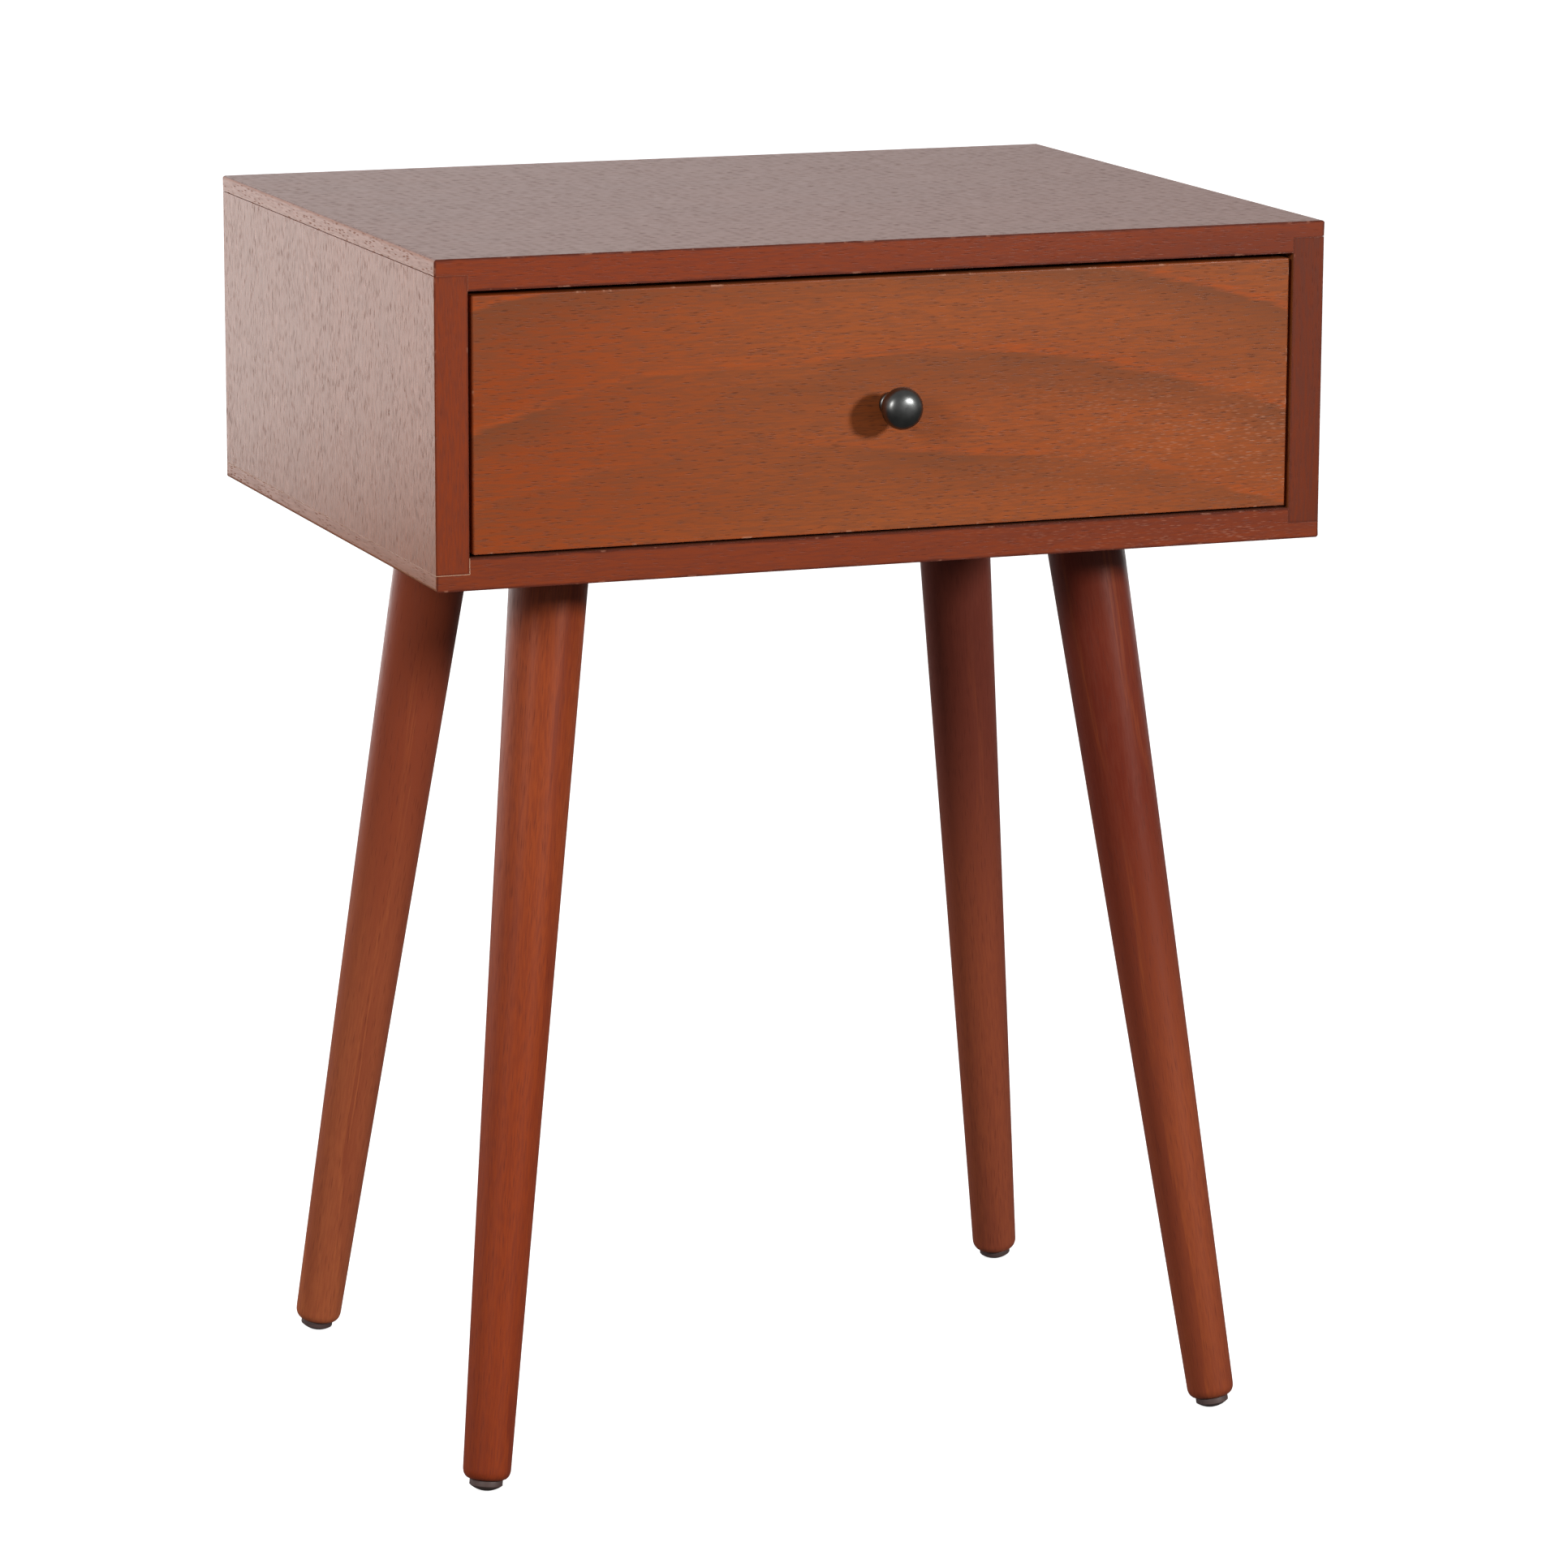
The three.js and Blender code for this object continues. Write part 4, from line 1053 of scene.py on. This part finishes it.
def fastener_mesh(kind, zinc):
    """A screw or pin along +Z, its head under z = 0, with a cross recess if it is a screw."""
    size = {key: value * MM for key, value in FASTENERS[kind].items()}
    rim = size["high"] * HEAD_RIM
    dome = arc((0, -rim), (size["head"], size["high"] - rim), -90, 0, HEAD_STEPS)
    profile = dome + [
        (size["head"], 0),
        (size["shank"], 0),
        (size["shank"], size["long"] - size["tip"]),
        (0, size["long"]),
    ]
    made = object_of(f"{kind}_pattern", lathe(profile, SCREW_SIDES), [zinc])
    if kind.endswith("screw"):
        cut_cross(made, size)
    return made


def cut_cross(made, size):
    """Cuts two tapered slots across the head."""
    for turn in (0, math.pi / 2):
        arm = size["head"] * CROSS_ARM
        half = size["head"] * CROSS_WIDE / 2
        bm = bmesh.new()
        outside = -size["high"] * CROSS_START
        bottom = -size["high"] + min(CROSS_DEEP, size["high"] * CROSS_DEEPEST)
        corners = []
        for height, share in zip((outside, bottom), CROSS_TAPER):
            square = ((-arm, -half), (arm, -half), (arm, half), (-arm, half))
            corners.append([bm.verts.new((x * share, y * share, height)) for x, y in square])
        join_rings(bm, *corners)
        bm.faces.new(corners[0])
        bm.faces.new(corners[1])
        bmesh.ops.rotate(bm, verts=bm.verts, matrix=Matrix.Rotation(turn, 3, "Z"))
        tool = object_of("cross_tool", bm, [])
        cutter = made.modifiers.new("cross", "BOOLEAN")
        cutter.operation = "DIFFERENCE"
        cutter.solver = "EXACT"
        cutter.object = tool
        shape = bpy.data.meshes.new_from_object(made.evaluated_get(bpy.context.evaluated_depsgraph_get()))
        made.modifiers.clear()
        made.data = shape
        bpy.data.objects.remove(tool)
    made.data.set_sharp_from_angle(angle=SMOOTH_ANGLE)


def fasteners(zinc):
    """Each fastener stands where its CAD node does, and drives in its own direction."""
    directions = {
        "back_pin": lambda node: (0, -1, 0),
        "case_rail_screw": lambda node: (-1 if "left" in node else 1, 0, 0),
        "drawer_rail_screw": lambda node: (0, 0, 1),
        "leg_plate_screw": lambda node: (0, 0, 1),
        "knob_screw": lambda node: (0, -1, 0),
    }
    for kind, direction_of in directions.items():
        pattern = fastener_mesh(kind, zinc)
        for node in sorted(n for n in frame["nodes"] if n.startswith(kind)):
            direction = Vector(direction_of(node))
            low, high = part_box(node)
            long = abs((high - low).dot(direction))
            place = middle_of(node) - direction * (long / 2 - FASTENERS[kind]["high"] * MM)
            made = new_object(f"{node}_driven", pattern.data)
            made.matrix_world = axis_matrix(place, direction)
            settle(made, frame["nodes"][node]["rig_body"], "zinc_steel", node)
        bpy.data.objects.remove(pattern)


# ---- slides


def rounded_path(points):
    """A path of (x, z) points, first to last, with each bend rounded."""
    path = [Vector(points[0])]
    for index in range(1, len(points) - 1):
        before, corner, after = (Vector(points[index + shift]) for shift in (-1, 0, 1))
        start = corner + (before - corner).normalized() * BEND_RADIUS
        end = corner + (after - corner).normalized() * BEND_RADIUS
        for step in range(BEND_STEPS + 1):
            share = step / BEND_STEPS
            path.append(start * (1 - share) ** 2 + corner * 2 * share * (1 - share) + end * share ** 2)
    return [*path, Vector(points[-1])]


def bent_sheet(name, points, stations, keep, material):
    """Sheet steel bent along a path of (x, z) points and run along Y. keep says which panes stay."""
    path = rounded_path(points)
    bm = bmesh.new()
    rows = [[bm.verts.new((place.x, y, place.y)) for place in path] for y in stations]
    for row, (near, far) in enumerate(zip(rows, rows[1:])):
        y = (stations[row] + stations[row + 1]) / 2
        for column in range(len(path) - 1):
            place = (path[column] + path[column + 1]) / 2
            if keep(place, y):
                bm.faces.new((near[column], near[column + 1], far[column + 1], far[column]))
    bmesh.ops.delete(bm, geom=[v for v in bm.verts if not v.link_faces], context="VERTS")
    made = object_of(name, bm, [material])
    thick = made.modifiers.new("sheet", "SOLIDIFY")
    thick.thickness = SHEET
    thick.offset = 0.0
    thick.use_even_offset = True
    arris = made.modifiers.new("arris", "BEVEL")
    arris.limit_method = "ANGLE"
    arris.angle_limit = SHARP_ANGLE
    arris.width = SHEET_ARRIS
    arris.segments = SHEET_ARRIS_STEPS
    return made


def stations_of(start, end, slots):
    """Places along Y where the sheet is divided: its ends, and both ends of each slot."""
    places = [start]
    for middle in slots:
        places += [middle - SLOT_HALF, middle + SLOT_HALF]
    return places + [end]


def split_web(low, high):
    """The heights between which a web has its slots."""
    return [low + (high - low) * share for share in SLOT_HEIGHTS]


def case_rail(side, sign, enamel, zinc):
    low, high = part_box(f"case_rail_{side}")
    tip = reach_of(f"case_roller_{side}")[0]
    web = reach_of(f"case_rail_{side}")[1] - SHEET / 2
    floor, ceiling = low.z + SHEET / 2, high.z - SHEET / 2
    slot_low, slot_high = split_web(low.z, high.z)
    points = [(tip, floor), (web, floor), (web, slot_low), (web, slot_high), (web, ceiling), (tip, ceiling)]
    stations = stations_of(low.y, high.y, CASE_SLOTS)

    def keep(place, y):
        in_slot = any(abs(y - middle) < SLOT_HALF for middle in CASE_SLOTS)
        return not (in_slot and slot_low < place.y < slot_high)

    mirrored = [(sign * x, z) for x, z in points]
    made = bent_sheet(f"case_rail_{side}_bent", mirrored, stations, keep, enamel)
    settle(made, "case", "slide_enamel", f"case_rail_{side}")
    middle = middle_of(f"case_roller_{side}")
    head_x = tip - HOLE_PLAY - RIVET_HIGH
    rivet = object_of(f"case_rail_rivet_{side}", lathe(rivet_profile(web - head_x), SCREW_SIDES), [zinc])
    rivet.matrix_world = axis_matrix((sign * head_x, middle.y, middle.z), (sign, 0, 0))
    settle(rivet, "case", "zinc_steel")


def rivet_profile(long):
    """A rivet along +Z from its domed head to its end in the web."""
    head = arc((0, RIVET_HIGH), (RIVET_RADIUS, RIVET_HIGH), -90, 0, RIVET_STEPS)
    return head + [(AXLE_RADIUS, RIVET_HIGH), (AXLE_RADIUS, long), (0, long)]


def drawer_rail(side, sign, enamel, zinc):
    low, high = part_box(f"drawer_rail_{side}")
    roller_middle = middle_of(f"drawer_roller_{side}")
    foot_tip, runner_tip = reach_of(f"drawer_rail_{side}")
    web = reach_of(f"drawer_side_{side}")[1] + HOLE_PLAY + SHEET / 2
    case_roller_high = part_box(f"case_roller_{side}")[1].z
    runner = case_roller_high + HOLE_PLAY + SHEET / 2
    foot = low.z + SHEET / 2
    room_front = roller_middle.y - ROLLER_RADIUS["drawer"] - ROLLER_ROOM
    points = [(foot_tip, foot), (web, foot), (web, runner), (runner_tip, runner)]
    stations = [low.y, room_front, high.y]

    def keep(place, y):
        return y < room_front or abs(place.x) < web + SHEET / 2 or place.y < foot + SHEET

    mirrored = [(sign * x, z) for x, z in points]
    made = bent_sheet(f"drawer_rail_{side}_bent", mirrored, stations, keep, enamel)
    settle(made, "drawer", "slide_enamel", f"drawer_rail_{side}")
    end_x = reach_of(f"drawer_roller_{side}")[1] + HOLE_PLAY
    long = end_x - web
    profile = [(0, 0), (AXLE_RADIUS - AXLE_CHAMFER, 0), (AXLE_RADIUS, AXLE_CHAMFER), (AXLE_RADIUS, long),
               (0, long)]
    axle = object_of(f"drawer_rail_axle_{side}", lathe(profile, SCREW_SIDES), [zinc])
    axle.matrix_world = axis_matrix((sign * end_x, roller_middle.y, roller_middle.z), (-sign, 0, 0))
    settle(axle, "drawer", "zinc_steel")


def roller_mesh(radius):
    """A nylon roller about +Z from z = 0: a hub and a rim with a dished web between, crossed by ribs."""
    wide = ROLLER_WIDE
    hub, rim = ROLLER_HUB, radius - ROLLER_RIM
    near = [(ROLLER_BORE, 0), (hub, 0), (hub, ROLLER_DISH), (rim, ROLLER_DISH), (rim, 0),
            (radius - ROLLER_EDGE, 0), (radius, ROLLER_EDGE)]
    far = [(r, wide - z) for r, z in reversed(near)]
    bm = lathe(near + far, ROLLER_SIDES, hollow=True)
    rib_every = ROLLER_SIDES // ROLLER_RIBS
    for vertex in bm.verts:
        turn = math.atan2(vertex.co.y, vertex.co.x) % (2 * math.pi)
        step = round(turn / (2 * math.pi) * ROLLER_SIDES)
        if step % rib_every > 1:
            continue
        if abs(vertex.co.z - ROLLER_DISH) < ON_FACE:
            vertex.co.z = ROLLER_RIB_INSET
        if abs(vertex.co.z - (wide - ROLLER_DISH)) < ON_FACE:
            vertex.co.z = wide - ROLLER_RIB_INSET
    return bm


def rollers():
    nylon = clouded("roller_nylon", SMOOTH_PLASTIC, NYLON_TONES, 0.45, 41.0)
    for kind, radius in ROLLER_RADIUS.items():
        for side in SIDES:
            node = f"{kind}_roller_{side}"
            made = object_of(f"{node}_moulded", roller_mesh(radius), [nylon])
            middle = middle_of(node)
            made.matrix_world = axis_matrix((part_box(node)[0].x, middle.y, middle.z), (1, 0, 0))
            settle(made, node, "roller_nylon", node)


# ---- knob


def knob_profile():
    """The bore, the rounded base, the waisted neck and the head, whose front is a little flatter."""
    middle = KNOB_LENGTH - KNOB_HEAD_HALF
    edge = KNOB_BASE_EDGE
    base_inner = KNOB_BASE_RADIUS - edge
    profile = [(0, KNOB_BORE_DEEP), (KNOB_BORE_RADIUS, KNOB_BORE_DEEP), (KNOB_BORE_RADIUS, 0)]
    profile += arc((base_inner, edge), (edge, edge), -90, 0, KNOB_EDGE_STEPS)
    profile += arc((base_inner, KNOB_BASE_THICK - edge), (edge, edge), 0, 90, KNOB_EDGE_STEPS)
    flare_radius = KNOB_NECK_RADIUS + KNOB_FLARE_WIDE
    flare_centre = (flare_radius, KNOB_BASE_THICK + KNOB_FLARE_RISE)
    profile += [(flare_radius, KNOB_BASE_THICK)]
    profile += arc(flare_centre, (KNOB_FLARE_WIDE, KNOB_FLARE_HIGH), *KNOB_FLARE_TURN, KNOB_EDGE_STEPS)
    turn = math.radians(KNOB_NECK_TURN)
    meet = (KNOB_HEAD_RADIUS * math.cos(turn), middle + KNOB_HEAD_HALF * math.sin(turn))
    swell = KNOB_NECK_SWELL
    profile += [(KNOB_NECK_RADIUS, middle * KNOB_NECK_SHARE), (KNOB_NECK_RADIUS + swell, middle / 2)]
    lift = KNOB_NECK_LIFT
    profile += [((KNOB_NECK_RADIUS + meet[0]) / 2 + lift, (middle / 2 + meet[1]) / 2 + lift)]
    profile += arc((0, middle), (KNOB_HEAD_RADIUS, KNOB_HEAD_HALF), KNOB_NECK_TURN, 0, KNOB_STEPS)
    for step in range(1, KNOB_STEPS):
        turn = math.pi / 2 * step / KNOB_STEPS
        radius = KNOB_HEAD_RADIUS * math.cos(turn) ** KNOB_FLATNESS
        profile.append((radius, middle + KNOB_HEAD_HALF * math.sin(turn) ** KNOB_FLATNESS))
    return profile + [(0, KNOB_LENGTH)]


def knob():
    gunmetal = clouded("knob_gunmetal", METAL, GUNMETAL_TONES, 0.33, 51.0)
    made = object_of("drawer_knob_turned", lathe(knob_profile(), KNOB_SIDES), [gunmetal])
    middle = middle_of("drawer_knob")
    made.matrix_world = axis_matrix((middle.x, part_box("drawer_knob")[1].y, middle.z), (0, -1, 0))
    settle(made, "drawer", "knob_metal", "drawer_knob")


# ---- studio


def soft_light(name, direction, distance, width, watts):
    data = bpy.data.lights.new(name, "AREA")
    data.shape = "DISK"
    data.size = width
    data.energy = watts
    aim = Vector((0, 0, LIGHT_AIM_HEIGHT))
    place = aim + Vector(direction).normalized() * distance
    new_object(name, data).matrix_world = axis_matrix(place, direction)


def studio_world():
    """Dim surroundings in front and a bright backdrop behind. The camera itself sees plain white."""
    world = bpy.data.worlds.new("studio")
    recipe = Recipe(world)
    direction = recipe.node("TexCoord", {}).outputs["Generated"]
    values = {0: direction, 1: BACKDROP_DIRECTION}
    towards = recipe.node("VectorMath", values, operation="DOT_PRODUCT").outputs["Value"]
    level = recipe.ranged(towards, *BACKDROP_TURN, BACKDROP_DIM, BACKDROP_BRIGHT)
    strength = recipe.math("MAXIMUM", level, recipe.seen_by_camera())
    background = recipe.node("Background", {"Color": WHITE, "Strength": strength})
    recipe.node("OutputWorld", {"Surface": background.outputs[0]})
    bpy.context.scene.world = world


def floor_material():
    """A pale floor, near white where nothing shades it. The table sees it glow towards the backdrop."""
    recipe = material_recipe("studio_floor")
    place = recipe.node("NewGeometry", {}).outputs["Position"]
    glow = recipe.ranged(recipe.split(place)[1], *FLOOR_GLOW_REACH, FLOOR_GLOW_FRONT, FLOOR_GLOW_REAR)
    paper = recipe.noise(place, scale=FLOOR_NOISE)
    tint = recipe.ranged(paper, *FLOOR_LEVELS, FLOOR_SHADE - FLOOR_MOTTLE, FLOOR_SHADE + FLOOR_MOTTLE)
    diffuse = recipe.node("BsdfDiffuse", {"Color": recipe.joined(tint, tint, tint)})
    lift = recipe.node("Emission", {"Strength": FLOOR_LIFT})
    lit = recipe.node("AddShader", {0: diffuse.outputs[0], 1: lift.outputs[0]})
    reflected = recipe.node("Emission", {"Strength": glow})
    shaders = {0: recipe.seen_by_camera(), 1: reflected.outputs[0], 2: lit.outputs[0]}
    both = recipe.node("MixShader", shaders)
    recipe.node("OutputMaterial", {"Surface": both.outputs[0]})
    return recipe.owner


def studio_floor():
    bm = bmesh.new()
    square = ((-1, -1), (1, -1), (1, 1), (-1, 1))
    bm.faces.new([bm.verts.new((x * FLOOR_HALF, y * FLOOR_HALF, 0)) for x, y in square])
    object_of("studio_floor", bm, [floor_material()])


def camera():
    data = bpy.data.cameras.new("camera")
    data.lens = CAMERA_LENS
    data.sensor_width = CAMERA_SENSOR
    data.clip_start, data.clip_end = CAMERA_CLIP
    made = new_object("camera", data)
    azimuth, pitch, roll = (math.radians(a) for a in (CAMERA_AZIMUTH, CAMERA_PITCH, CAMERA_ROLL))
    level = math.cos(pitch)
    back = Vector((math.sin(azimuth) * level, -math.cos(azimuth) * level, math.sin(pitch)))
    right = Vector((0, 0, 1)).cross(back).normalized()
    up = back.cross(right)
    turned_right = right * math.cos(roll) + up * math.sin(roll)
    turned_up = up * math.cos(roll) - right * math.sin(roll)
    turn = Matrix((turned_right, turned_up, back)).transposed().to_4x4()
    made.matrix_world = Matrix.Translation(CAMERA_PLACE) @ turn
    bpy.context.scene.camera = made


def table():
    zinc = clouded("zinc_plate", METAL, ZINC_TONES, 0.36, 61.0)
    enamel = clouded("slide_enamel", PLASTIC, ENAMEL_TONES, 0.42, 71.0)
    case_boards()
    glue_lines()
    drawer_boards()
    legs()
    foot_glides()
    hanger_bolts(zinc)
    leg_plates(zinc)
    fasteners(zinc)
    for side, sign in SIDES.items():
        case_rail(side, sign, enamel, zinc)
        drawer_rail(side, sign, enamel, zinc)
    rollers()
    knob()


camera()
studio_world()
studio_floor()
soft_light("key", KEY_DIRECTION, KEY_DISTANCE, KEY_WIDTH, KEY_WATTS)
soft_light("fill", FILL_DIRECTION, FILL_DISTANCE, FILL_WIDTH, FILL_WATTS)
bpy.context.scene.view_settings.view_transform = "Standard"
table()
